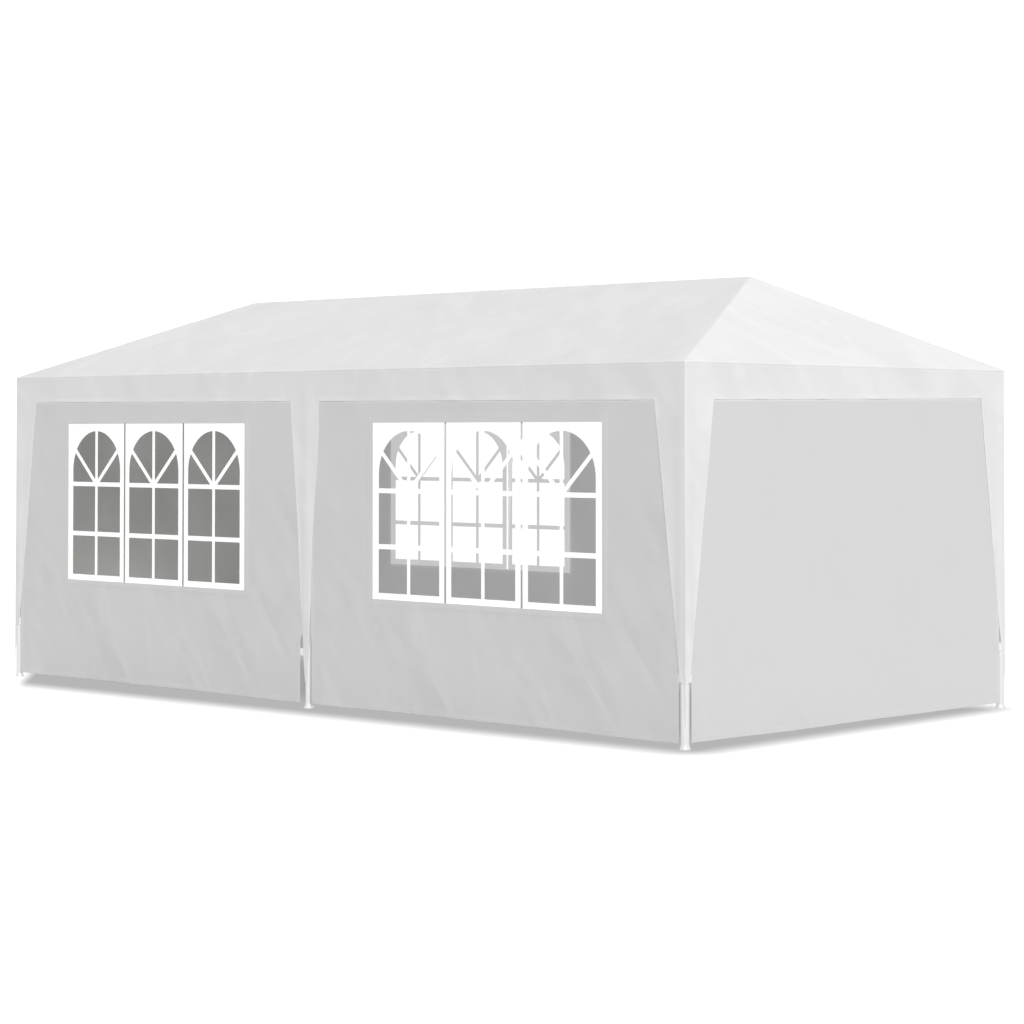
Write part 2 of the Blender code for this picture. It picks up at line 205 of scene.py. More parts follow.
HALF_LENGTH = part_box("valance_front")[1].x
HALF_WIDTH = -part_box("valance_front")[0].y
RIDGE_HALF = HALF_LENGTH - HIP_INSET
RISE = RIDGE_HEIGHT - EAVE_HEIGHT
LEG_X = centre_of("leg_front_right").x
LEG_Y = centre_of("leg_back_right").y
LEG_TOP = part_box("leg_front_right")[1].z
EAVE_AXIS_Z = centre_of("eave_tube_front_right").z
RIDGE_AXIS_Z = centre_of("ridge_tube_right").z
RIDGE_AXIS_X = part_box("ridge_tube_right")[1].x + EAVE_ARM + GAP
WALL_FACE_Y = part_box("wall_back_right")[1].y
WALL_FACE_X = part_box("wall_right")[1].x
FILM_FACE_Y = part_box("window_film_back_right")[1].y
SLOPE_FRONT = atan2(RISE, HALF_WIDTH)
SLOPE_HIP = atan2(RISE, HIP_INSET)
SLOPE_LENGTH = {**dict.fromkeys(SIDE_Y, hypot(HALF_WIDTH, RISE)),
                **dict.fromkeys(SIDE_X, hypot(HIP_INSET, RISE))}


# Node trees

def is_socket(value):
    return isinstance(value, bpy.types.NodeSocket)


def tree_of(*values):
    return next(value.id_data for value in values if is_socket(value))


def feed(node, inputs):
    """Give each named input of a node its value, or its link."""
    for name, value in inputs.items():
        if is_socket(value):
            node.id_data.links.new(value, node.inputs[name])
        else:
            node.inputs[name].default_value = value


def add_node(tree, kind, inputs=None, **settings):
    """A node with its settings made, and each named input given a value or a link."""
    made = tree.nodes.new(kind)
    for name, value in settings.items():
        setattr(made, name, value)
    feed(made, inputs or {})
    return made


def maths(operation, *values, clamp=False):
    return add_node(tree_of(*values), "ShaderNodeMath", dict(enumerate(values)),
                    operation=operation, use_clamp=clamp).outputs[0]


times, plus, minus = (partial(maths, kind) for kind in ("MULTIPLY", "ADD", "SUBTRACT"))


def rgba(colour):
    """A grey or an (r, g, b) as a colour value. A socket stays as it is."""
    if is_socket(colour):
        return colour
    return (*colour, 1) if isinstance(colour, tuple) else (colour, colour, colour, 1)


def shaded(colour, gain):
    return tuple(min(1.0, part * gain) for part in rgba(colour)[:3])


def mix_colour(factor, first, second):
    return add_node(tree_of(factor, first, second), "ShaderNodeMix", {
        0: factor, 6: rgba(first), 7: rgba(second)}, data_type="RGBA").outputs[2]


def ramp_between(value, low, high, to_low=0.0, to_high=1.0):
    """A smooth step as value goes from low to high."""
    return add_node(tree_of(value), "ShaderNodeMapRange", {
        "Value": value, "From Min": low, "From Max": high, "To Min": to_low, "To Max": to_high},
        interpolation_type="SMOOTHSTEP").outputs[0]


def noise(vector, scale, detail=2.0, roughness=0.5, distortion=0.0):
    return add_node(tree_of(vector), "ShaderNodeTexNoise", {
        "Vector": vector, "Scale": scale, "Detail": detail, "Roughness": roughness,
        "Distortion": distortion}).outputs["Fac"]


def mapping(vector, turn=0.0, size=(1, 1, 1), shift=(0, 0, 0)):
    """Coordinates for a texture that is turned, then stretched to size along its own axes."""
    return add_node(tree_of(vector), "ShaderNodeMapping", {
        "Vector": vector, "Location": shift, "Rotation": (0, 0, radians(turn)), "Scale": size},
        vector_type="TEXTURE").outputs[0]


def in_lengths_of(vector, length):
    return add_node(tree_of(vector), "ShaderNodeVectorMath", {
        0: vector, "Scale": maths("DIVIDE", 1.0, length)}, operation="SCALE").outputs[0]


def xyz(vector):
    return add_node(tree_of(vector), "ShaderNodeSeparateXYZ", {0: vector}).outputs


def own_uv(tree):
    return add_node(tree, "ShaderNodeUVMap", uv_map="metres").outputs[0]


def object_place(tree):
    return add_node(tree, "ShaderNodeTexCoord").outputs["Object"]


def attribute(tree, name):
    return add_node(tree, "ShaderNodeAttribute", attribute_name=name).outputs["Fac"]


def bump(height, distance, normal=None):
    below = {} if normal is None else {"Normal": normal}
    return add_node(tree_of(height), "ShaderNodeBump", {
        "Height": height, "Distance": distance, "Strength": 1.0, **below}).outputs[0]


# Shader groups

def shader_group(name, inputs, outputs):
    """An empty shader group. An input with a default is a number, and one without a vector."""
    group = bpy.data.node_groups.new(name, "ShaderNodeTree")
    for label, value in inputs.items():
        kind = "NodeSocketVector" if value is None else "NodeSocketFloat"
        socket = group.interface.new_socket(label, in_out="INPUT", socket_type=kind)
        if value is not None:
            socket.default_value = value
    for label in outputs:
        group.interface.new_socket(label, in_out="OUTPUT", socket_type="NodeSocketFloat")
    return group.nodes.new("NodeGroupInput").outputs, group.nodes.new("NodeGroupOutput")


def use_group(tree, name, inputs):
    return add_node(tree, "ShaderNodeGroup", inputs,
                    node_tree=bpy.data.node_groups[name]).outputs


def tape_weave_group():
    """Flat tapes woven over and under each other, as in coated polyethylene sheet."""
    given, result = shader_group("tape_weave", {"Vector": None, "Pitch": 0.003}, ["Height"])
    cells = in_lengths_of(given["Vector"], given["Pitch"])
    along, across = (maths("ABSOLUTE", maths("SINE", times(xyz(cells)[axis], pi)))
                     for axis in ("X", "Y"))
    over = add_node(tree_of(cells), "ShaderNodeTexChecker", {"Vector": cells, "Scale": 1.0})
    blend = add_node(tree_of(cells), "ShaderNodeMix", {
        0: over.outputs["Fac"], 2: along, 3: across}, data_type="FLOAT")
    feed(result, {"Height": blend.outputs[0]})


def soft_creases_group():
    """Faint long creases at two angles, small puckers, and the patches that they gather in."""
    given, result = shader_group(
        "soft_creases", {"Vector": None, "Spacing": 0.12}, ["Height", "Streak", "Patch"])
    vector = in_lengths_of(given["Vector"], given["Spacing"])
    long_way = mapping(vector, turn=-54, size=(2.7, 0.75, 1))
    other_way = mapping(vector, turn=-75, size=(1.8, 0.6, 1), shift=(3, 7, 0))
    streak = ramp_between(noise(long_way, 1.0, 1.0, 0.5, 0.4), 0.46, 0.66)
    cross = ramp_between(noise(other_way, 1.0, 1.0, 0.5, 0.6), 0.54, 0.74)
    patch = ramp_between(noise(vector, 0.36, 3.0, 0.55), 0.40, 0.62)
    pucker = noise(vector, 2.6, 4.0, 0.62, 0.4)
    fleck = ramp_between(noise(vector, 1.5, 2.0, 0.5), 0.58, 0.72, 0.0, 0.9)
    crossing = times(cross, minus(1.0, patch))
    both = plus(times(streak, patch), times(crossing, 0.5))
    feed(result, {"Height": plus(both, times(pucker, 0.45)),
                  "Streak": maths("MAXIMUM", both, times(fleck, patch)), "Patch": patch})


def sewn_edge_group():
    """A doubled hem along a cloth's edge, with its sewn line."""
    given, result = shader_group("sewn_edge", {"From Edge": 1.0, "Width": HEM}, ["Hem", "Line"])
    inside = minus(given["Width"], given["From Edge"])
    off_line = maths("ABSOLUTE", minus(inside, STEP_IN_BAND))
    feed(result, {"Hem": ramp_between(inside, -STEP_IN_BAND, STEP_IN_BAND),
                  "Line": ramp_between(off_line, 0.0, 0.003, 1.0, 0.0)})


def ground_dust_group():
    """Dust that gathers on the lowest part of a piece, broken up by noise."""
    given, result = shader_group("ground_dust", {"Vector": None, "Height": 0.2}, ["Amount"])
    up = maths("DIVIDE", xyz(given["Vector"])["Z"], given["Height"])
    speckle = ramp_between(noise(given["Vector"], 9.0, 5.0, 0.65), 0.35, 0.75)
    feed(result, {"Amount": times(minus(1.0, up, clamp=True), speckle)})


# Materials

def dress(shader, **sockets):
    """Feed a shader's sockets, named in small letters with _ for a space."""
    by_name = {name.lower().replace(" ", "_"): name for name in shader.inputs.keys()}
    feed(shader, {by_name[socket]: value for socket, value in sockets.items()})


def new_material(name, **sockets):
    made = bpy.data.materials.new(name)
    made.use_nodes = True
    shader = made.node_tree.nodes["Principled BSDF"]
    dress(shader, **sockets)
    return made, made.node_tree, shader


def cloth_material(name, colour, glow, painted_crease_gain, hem_width, crease_height, spacing,
                   turn=0.0, gathered=None, dusty=False, banded=False, tucked=False, leak=None):
    """Coated woven sheet. glow is the daylight that comes through it, seen on its inner face.
    gathered gives two heights: creases are full below the first, and faint above the second.
    A tucked sheet hangs from under the valance. It is a little paler just under the valance's hem,
    a painted highlight over the shade line there, and darker close to a middle leg, painted shade.
    leak is the daylight that comes in under the sheet, on the lowest part of its inner face."""
    made, tree, shader = new_material(
        name, roughness=0.64, specular_ior_level=0.28, sheen_weight=0.08, sheen_roughness=0.5)
    uv = own_uv(tree)
    crease = use_group(tree, "soft_creases", {"Vector": mapping(uv, turn), "Spacing": spacing})
    streak, raised = crease["Streak"], crease["Height"]
    if gathered:
        share = ramp_between(xyz(object_place(tree))["Z"], *gathered, 1.0, 0.3)
        streak, raised = times(streak, share), times(raised, share)
    weave = use_group(tree, "tape_weave", {"Vector": uv, "Pitch": WEAVE_PITCH})
    sewn = use_group(tree, "sewn_edge", {
        "From Edge": attribute(tree, "from_edge"), "Width": hem_width})
    # Paler along the crease ridges and darker in their patches: painted highlight and painted
    # shade of the creases
    pale = shaded(colour, painted_crease_gain)
    base = mix_colour(streak, colour, pale)
    base = mix_colour(times(crease["Patch"], 0.4), base, shaded(colour, 1 / painted_crease_gain))
    base = mix_colour(times(sewn["Hem"], 0.12), base, pale)
    # Darker along the sewn lines: the hem's stitch line, and the eave band's two edges, which are
    # partly the seam and partly painted shade of the band's step
    lines = times(sewn["Line"], 0.12)
    if banded:
        drop = attribute(tree, "from_eave")
        for depth, weight in zip(EAVE_BAND, (1.0, 0.15)):
            away = maths("ABSOLUTE", minus(drop, depth))
            lines = plus(lines, ramp_between(away, 0.0, 0.004, weight, 0.0), clamp=True)
    base = mix_colour(times(lines, 0.42), base, shaded(colour, 0.72))
    if tucked:
        place = xyz(object_place(tree))
        twist = times(times(place["X"], place["Y"]), VALANCE_TWIST)
        below = minus(plus(twist, EAVE_HEIGHT - VALANCE_DEPTH), place["Z"])
        # Painted highlight: paler in a thin band just under the valance's hem
        base = mix_colour(ramp_between(below, 0.001, 0.014, 0.45, 0.0), base, 0.93)
        # Painted shade: darker in the wall's edge next to a middle leg, below about 0.4 m
        beside_leg = times(ramp_between(maths("ABSOLUTE", place["X"]), 0.046, 0.057, 1.0, 0.0),
                           ramp_between(place["Z"], 0.38, 0.46, 1.0, 0.0))
        base = mix_colour(beside_leg, base, shaded(colour, 0.80))
    if dusty:
        dust = use_group(tree, "ground_dust", {"Vector": object_place(tree), "Height": 0.16})
        base = mix_colour(times(dust["Amount"], 0.03), base, (0.42, 0.40, 0.37))
    relief = bump(weave["Height"], WEAVE_HEIGHT, bump(raised, crease_height))
    dress(shader, base_color=base, normal=relief,
          roughness=ramp_between(streak, 0.0, 1.0, 0.68, 0.60))
    if leak:
        near_ground = ramp_between(xyz(object_place(tree))["Z"], 0.08, 0.32, 1.0, 0.0)
        light = mix_colour(near_ground, mix_colour(glow / leak, 0.0, base), 1.0)
        dress(shader, emission_color=light, emission_strength=leak)
    elif glow:
        dress(shader, emission_color=base, emission_strength=glow)
    return made


def film_material():
    # The white emission is painted light: a glow of the lit film
    made, tree, shader = new_material(
        "clear_window_film", base_color=(0.90, 0.91, 0.90, 1), roughness=0.09, ior=1.45,
        alpha=0.075, emission_color=(1, 1, 1, 1), emission_strength=0.2)
    place = object_place(tree)
    wavy = noise(mapping(place, size=(1, 1, 0.6)), 3.2, 3.0, 0.5, 0.5)
    dress(shader, normal=bump(wavy, 0.004),
          roughness=ramp_between(noise(place, 7.0, 5.0, 0.6), 0.35, 0.8, 0.06, 0.16),
          alpha=ramp_between(noise(place, 2.2, 3.0, 0.5), 0.3, 0.8, 0.06, 0.09))
    return made


def tube_material():
    """White powder coat: a fine orange peel and dust at the foot. Its lowest part is darker and
    glows white: painted light standing in for the white floor's light.
    """
    made, tree, shader = new_material(
        "white_powder_coat", roughness=0.3, specular_ior_level=0.5, coat_weight=0.25,
        coat_roughness=0.2, emission_strength=0.42)
    place = object_place(tree)
    peel = noise(place, 420.0, 2.0, 0.5)
    wear = ramp_between(noise(place, 35.0, 6.0, 0.7), 0.62, 0.74)
    near_floor = ramp_between(xyz(place)["Z"], 0.34, 0.44, 1.0, 0.0)
    dust = use_group(tree, "ground_dust", {"Vector": place, "Height": 0.10})
    base = mix_colour(times(wear, 0.25), (0.70, 0.705, 0.705), (0.61, 0.615, 0.615))
    # Painted light: below about 0.4 m the coat is darker and glows white
    base = mix_colour(near_floor, base, (0.36, 0.362, 0.362))
    base = mix_colour(times(dust["Amount"], 0.45), base, (0.28, 0.27, 0.26))
    dress(shader, base_color=base, emission_color=mix_colour(near_floor, 0.0, 1.0),
          roughness=ramp_between(peel, 0.2, 0.8, 0.24, 0.36), normal=bump(peel, 0.00008))
    return made


def grained_material(name, grain, colours, rough, height=0.0, blend=None, **sockets):
    """A finish with one fine grain in its roughness and relief. The two colours follow the
    grain, or blend where that is given. Both are functions of the place."""
    made, tree, shader = new_material(name, **sockets)
    place = object_place(tree)
    fine = grain(place)
    dress(shader, base_color=mix_colour(blend(place) if blend else fine, *colours),
          roughness=ramp_between(fine, *rough))
    if height:
        dress(shader, normal=bump(fine, height))
    return made


def print_material(name, grey, glow):
    """Opaque white ink on film: nearly even, with a fine mottle, and a white glow of the given
    strength that is painted light.
    """
    def mottle(place):
        return noise(place, 60.0, 3.0, 0.6)

    return grained_material(
        name, mottle, (grey, grey * 0.965), (0.2, 0.8, 0.32, 0.46), 0.00015,
        blend=lambda place: ramp_between(mottle(place), 0.35, 0.7), roughness=0.38,
        specular_ior_level=0.4, emission_color=(1, 1, 1, 1), emission_strength=glow)


def plastic_material():
    """White nylon with a faint spark-eroded grain."""
    return grained_material(
        "white_moulded_plastic", lambda place: noise(place, 900.0, 2.0, 0.6),
        ((0.80, 0.81, 0.81), (0.85, 0.855, 0.85)), (0.2, 0.8, 0.42, 0.56), 0.00006,
        blend=lambda place: ramp_between(noise(place, 14.0, 3.0, 0.5, 1.0), 0.3, 0.7),
        roughness=0.48, specular_ior_level=0.45)


def webbing_material():
    # The faint white emission is painted light on the ties
    return grained_material(
        "white_webbing",
        lambda place: use_group(tree_of(place), "tape_weave", {
            "Vector": mapping(place, turn=45), "Pitch": 0.0016})["Height"],
        ((0.80, 0.80, 0.79), (0.90, 0.90, 0.89)), (0.0, 1.0, 0.78, 0.62), 0.0002,
        roughness=0.7, sheen_weight=0.2, emission_color=(1, 1, 1, 1), emission_strength=0.07)


def thread_material(name, dark, pale):
    return grained_material(name, lambda place: noise(place, 800.0, 2.0, 0.5), (dark, pale),
                            (0.2, 0.8, 0.55, 0.7), roughness=0.6, sheen_weight=0.15)


def zinc_material():
    return grained_material(
        "zinc_screw", lambda place: noise(place, 600.0, 4.0, 0.6),
        ((0.60, 0.61, 0.62), (0.74, 0.75, 0.76)), (0.2, 0.8, 0.25, 0.42), metallic=1.0,
        roughness=0.32)


def make_materials():
    for make_group in (tape_weave_group, soft_creases_group, sewn_edge_group, ground_dust_group):
        make_group()
    return {
        "cover": cloth_material("white_cover_cloth", 0.775, 0, 1.085, HEM, 0.0011, 0.33,
                                turn=9, banded=True),
        # Inner faces are darker copies of the outer cloth, painted shade of the tent's inside, and
        # glow with painted daylight through the cloth
        "cover_inside": cloth_material("white_cover_inside", 0.70, 0.10, 1.03, HEM, 0.0008,
                                       0.13),
        "wall": cloth_material("white_wall_cloth", 0.66, 0, 1.09, WALL_HEM, 0.0011, 0.24,
                               gathered=(0.45, 1.2), dusty=True, tucked=True),
        # The walls' inner face: a darker copy with a strong glow, painted shade and painted
        # daylight
        "wall_inside": cloth_material("white_wall_inside", 0.42, 0.405, 1.03, WALL_HEM, 0.0008,
                                      0.15),
        "end_wall": cloth_material("white_end_wall_cloth", 0.655, 0, 1.025, WALL_HEM, 0.0006,
                                   0.20, gathered=(0.2, 0.7), dusty=True, tucked=True),
        # The end walls' inner face is darker still, painted shade, with painted daylight that is
        # stronger low down
        "end_inside": cloth_material("white_end_wall_inside", (0.333, 0.335, 0.308), 0.128,
                                     1.03, WALL_HEM, 0.0008, 0.15, leak=0.30),
        "film": film_material(),
        "print": print_material("white_print", 0.92, 0.25),
        # The print's inner face is a darker copy with a smaller glow: painted shade and painted
        # light
        "print_inside": print_material("white_print_inside", 0.80, 0.14),
        "tube": tube_material(),
        "plastic": plastic_material(),
        "webbing": webbing_material(),
        "cover_thread": thread_material("white_cover_thread", 0.78, 0.88),
        "wall_thread": thread_material("white_wall_thread", 0.66, 0.76),
        "zinc": zinc_material(),
    }


# Shapes that several pieces use

def spread(stops, step):
    """The stops along a run, with even points between them no further apart than step."""
    run = [stops[0]]
    for low, high in zip(stops, stops[1:]):
        count = max(1, ceil((high - low) / step - 0.001))
        run += [low + (high - low) * number / count for number in range(1, count + 1)]
    return run


def link_object(name, data):
    made = bpy.data.objects.new(name, data)
    bpy.context.scene.collection.objects.link(made)
    return made


def link_piece(name, mesh, *materials):
    for material in materials:
        mesh.materials.append(material)
    return link_object(name, mesh)


def mesh_from(bm, name):
    mesh = bpy.data.meshes.new(name)
    bm.to_mesh(mesh)
    bm.free()
    return mesh


def evaluated_mesh(holder):
    """What an object's curve or modifiers make, as a plain mesh."""
    bpy.context.view_layer.update()
    return bpy.data.meshes.new_from_object(holder.evaluated_get(
        bpy.context.evaluated_depsgraph_get()))


def smooth_mesh(mesh, sharp_angle=None):
    mesh.shade_smooth()
    if sharp_angle is not None:
        mesh.set_sharp_from_angle(angle=radians(sharp_angle))


def make_real(piece, sharp_angle=50):
    """Turn a piece's modifiers into plain mesh."""
    mesh = evaluated_mesh(piece)
    piece.modifiers.clear()
    flat = piece.data
    piece.data = mesh
    bpy.data.meshes.remove(flat)
    mesh.name = piece.name
    smooth_mesh(mesh, sharp_angle)


def finished(piece, slot, *nodes):
    """The piece moves with the tent, and hides the nodes that it stands for. slot is not used."""
    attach(piece, BODY)
    if nodes:
        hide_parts(*nodes)


def ripples(across, up, seed, count, wavelength, height):
    """Gentle undulation: a sum of long waves with random directions and phases."""
    draw = np.random.default_rng(seed)
    total = np.zeros_like(across)
    for _ in range(count):
        angle = draw.uniform(0, pi)
        number = 2 * pi / (wavelength * draw.uniform(0.7, 1.6))
        phase = draw.uniform(0, 2 * pi)
        total += np.sin(number * (across * cos(angle) + up * sin(angle)) + phase)
    return total * height / count ** 0.5


def long_creases(across, up, seed, count, area, angle, length, width, height):
    """Straight soft folds, each a narrow swell that dies away along its length."""
    draw = np.random.default_rng(seed)
    total = np.zeros_like(across)
    low_across, high_across, low_up, high_up = area
    for _ in range(count):
        from_across = across - draw.uniform(low_across, high_across)
        from_up = up - draw.uniform(low_up, high_up)
        turn = radians(draw.normal(*angle))
        long_reach = draw.uniform(*length) / 2
        half = draw.uniform(*width) / 2
        sign = draw.choice((-1, 1))
        along = from_across * cos(turn) + from_up * sin(turn)
        aside = from_up * cos(turn) - from_across * sin(turn)
        bow = aside - draw.uniform(-0.04, 0.04) * (along / long_reach) ** 2
        total += sign * height * np.exp(-(along / long_reach) ** 2 - (bow / half) ** 2)
    return total


def cloth_mesh(name, points, faces, flat_places, **fields):
    """A sheet's mesh, with its flat places as its UV map, and each field as an attribute."""
    mesh = bpy.data.meshes.new(name)
    mesh.from_pydata(points, [], faces)
    uv = mesh.uv_layers.new(name="metres")
    uv.data.foreach_set("uv", np.array(flat_places, np.float32).ravel())
    for field, values in fields.items():
        made = mesh.attributes.new(field, "FLOAT", "POINT")
        made.data.foreach_set("value", np.asarray(values, np.float32))
    return mesh


def make_sheet(name, mesh, outer, inner, hem_width):
    """A cloth with its thickness inwards, thicker in its hem. Inner faces take slot 1, and the
    cut edges are sharp, so that they don't shade the flat of the cloth."""
    smooth_mesh(mesh)
    sheet = link_piece(name, mesh, outer, inner)
    in_hem = [number for number, item in enumerate(mesh.attributes["from_edge"].data)
              if item.value <= hem_width]
    sheet.vertex_groups.new(name="hem").add(in_hem, 1.0, "REPLACE")
    solid = sheet.modifiers.new("thickness", "SOLIDIFY")
    solid.thickness = HEM_CLOTH
    solid.offset = -1
    solid.vertex_group = "hem"
    solid.thickness_vertex_group = CLOTH / HEM_CLOTH
    solid.use_even_offset = False
    solid.material_offset = 1
    solid.material_offset_rim = 0
    make_real(sheet)
    return sheet


def turned(name, start, end, profile, closed, finish):
    """A round piece on the line from start to end. Profile points are (radius, distance)."""
    direction = (end - start).normalized()
    place = Matrix.Translation(start) @ direction.to_track_quat("Z", "Y").to_matrix().to_4x4()
    bm = bmesh.new()
    rings = []
    for radius, distance in profile:
        sides = TUBE_SIDES if radius else 1
        turns = [2 * pi * number / sides for number in range(sides)]
        rings.append([bm.verts.new(place @ Vector((radius * cos(turn), radius * sin(turn),
                                                   distance))) for turn in turns])
    for lower, upper in zip(rings, rings[1:] + (rings[:1] if closed else [])):
        for number in range(TUBE_SIDES):
            here, following = ([ring[side % len(ring)] for ring in (lower, upper)]
                               for side in (number, number + 1))
            # At a pole the two lower or upper corners are one
            bm.faces.new(list(dict.fromkeys((*here, *reversed(following)))))
    bmesh.ops.recalc_face_normals(bm, faces=bm.faces[:])
    mesh = mesh_from(bm, name)
    smooth_mesh(mesh, 40)
    return link_piece(name, mesh, finish)


def plate(name, outlines, thickness, y_sign, inner_face, front, back):
    """A flat plate that stands on a long side, cut from one outline less the others.
    Its outer face takes the front material, all other faces the back one."""
    curve = bpy.data.curves.new(name, "CURVE")
    curve.dimensions = "2D"
    curve.fill_mode = "BOTH"
    curve.extrude = thickness / 2
    for outline in outlines:
        spline = curve.splines.new("POLY")
        spline.points.add(len(outline) - 1)
        for point, (across, up) in zip(spline.points, outline):
            point.co = (across, up, 0, 1)
        spline.use_cyclic_u = True
    flat = link_object(name, curve)
    mesh = evaluated_mesh(flat)
    bpy.data.objects.remove(flat)
    bpy.data.curves.remove(curve)
    mesh.transform(Matrix.Translation((0, y_sign * (inner_face + thickness / 2), 0))
                   @ Matrix.Rotation(radians(90), 4, "X"))
    bm = bmesh.new()
    bm.from_mesh(mesh)
    bmesh.ops.remove_doubles(bm, verts=bm.verts[:], dist=WELD)
    bmesh.ops.recalc_face_normals(bm, faces=bm.faces[:])
    for face in bm.faces:
        face.material_index = 0 if face.normal.y * y_sign > 0.5 else 1
        face.smooth = False
    bm.to_mesh(mesh)
    bm.free()
    mesh.materials.clear()
    return link_piece(name, mesh, front, back)


# Cover

def smooth_max(fields, softness):
    """Where several distance fields meet, a rounded greatest one, with its gradient."""
    values = np.stack([value for value, _ in fields])
    slopes = np.stack([slope for _, slope in fields])
    top = values.max(axis=0)
    share = np.exp((values - top) / softness)
    total = share.sum(axis=0)
    return top + softness * np.log(total), (slopes * (share / total)[:, :, None]).sum(axis=0)


def cover_field(points):
    """Signed distance to the cover's faces, rounded where the cloth folds over a tube."""
    def plane(normal, through):
        value = (points - np.array(through)) @ np.array(normal)
        return value, np.broadcast_to(normal, points.shape)

    roof = [plane((0, sign * sin(SLOPE_FRONT), cos(SLOPE_FRONT)), (RIDGE_HALF, 0, RIDGE_HEIGHT))
            for sign in SIDE_Y.values()]
    roof += [plane((sign * sin(SLOPE_HIP), 0, cos(SLOPE_HIP)),
                   (sign * RIDGE_HALF, 0, RIDGE_HEIGHT)) for sign in SIDE_X.values()]
    sides = [plane((0, sign, 0), (0, sign * HALF_WIDTH, 0)) for sign in SIDE_Y.values()]
    sides += [plane((sign, 0, 0), (sign * HALF_LENGTH, 0, 0)) for sign in SIDE_X.values()]
    return smooth_max([smooth_max(roof, ROOF_FOLD), smooth_max(sides, CORNER_FOLD)], EAVE_FOLD)


def strip_at(x, y, side):
    """The leg strip that hangs below a place on the valance's edge, or None, and how far inside
    that strip the place is."""
    name = f"corner_strip_{'front' if y < 0 else 'back'}_{'left' if x < 0 else 'right'}"
    if side in SIDE_X:
        inside = CORNER_STRIP_END - (HALF_WIDTH - abs(y))
    elif abs(x) > LEG_X / 2:
        inside = CORNER_STRIP_LONG_SIDE - (HALF_LENGTH - abs(x))
    else:
        name = f"middle_strip_{side}"
        inside = min(x + MIDDLE_STRIP_LEFT, MIDDLE_STRIP_RIGHT - x)
    return (name, inside) if inside > -SMALL else (None, 0)


def loop_columns():
    """The columns of the cover, once round from the front left corner.
    Each is (x, y, side, strip below it or None, how far inside that strip it is)."""
    def run(half, width, *middle):
        corner = [0, 0.0012, 0.003, 0.008, 0.016, 0.03, width - HEM - STEP_IN_BAND,
                  width - HEM + STEP_IN_BAND, width]
        stops = [stop - half for stop in corner]
        return spread([*stops, *middle, *[-stop for stop in reversed(stops)]], LOOP_STEP)

    long_run = run(HALF_LENGTH, CORNER_STRIP_LONG_SIDE, -MIDDLE_STRIP_LEFT,
                   HEM - MIDDLE_STRIP_LEFT, 0, MIDDLE_STRIP_RIGHT - HEM, MIDDLE_STRIP_RIGHT)
    end_run = run(HALF_WIDTH, CORNER_STRIP_END)
    places = [(x, -HALF_WIDTH, "front") for x in long_run[:-1]]
    places += [(HALF_LENGTH, y, "right") for y in end_run[:-1]]
    places += [(x, HALF_WIDTH, "back") for x in long_run[:0:-1]]
    places += [(-HALF_LENGTH, y, "left") for y in end_run[:0:-1]]
    return [(*place, *strip_at(*place)) for place in places]


def roof_rows():
    """Shares of the way from the ridge to the eave, close together at both folds."""
    near = [0, 0.006, 0.014, 0.028, 0.05]
    far = [0.03, 0.012, 0.005, 0.002, 0]
    run = spread(near + [HALF_WIDTH - distance for distance in far], ROOF_STEP)
    return [distance / HALF_WIDTH for distance in run]


def valance_rows():
    """Nominal drops below the eave, with rows at the sewn band and at the hem."""
    first, second = EAVE_BAND
    step = STEP_IN_BAND
    stops = [0, 0.002, first - step, first + step, second - step, second + step, TWIST_FROM,
             VALANCE_DEPTH - HEM - step, VALANCE_DEPTH - HEM + step, VALANCE_DEPTH]
    return spread(stops, VALANCE_STEP)[1:]


# Where a side's cloth lies in the UV map, so that no two sides overlap
SIDE_RUN = {"front": lambda x, y: x, "right": lambda x, y: y + 10, "back": lambda x, y: 20 - x,
            "left": lambda x, y: 30 - y}


class CoverGrid:
    """Collects the cover's points and faces, with what its material and stitches need."""

    def __init__(self):
        self.points, self.from_edge, self.from_eave = [], [], []
        self.faces, self.flat_places = [], []

    def add(self, place, from_edge, from_eave):
        self.points.append(place)
        self.from_edge.append(from_edge)
        self.from_eave.append(from_eave)
        return len(self.points) - 1

    def join(self, upper, lower, columns):
        """Faces between two rows, with their corners' places on the flat cloth of their side."""
        for number in range(len(upper) - 1):
            side = columns[number][2]
            corners = (upper[number], lower[number], lower[number + 1], upper[number + 1])
            self.faces.append(corners)
            for corner in corners:
                x, y, _ = self.points[corner]
                self.flat_places.append((SIDE_RUN[side](x, y),
                                         -(SLOPE_LENGTH[side] + self.from_eave[corner])))


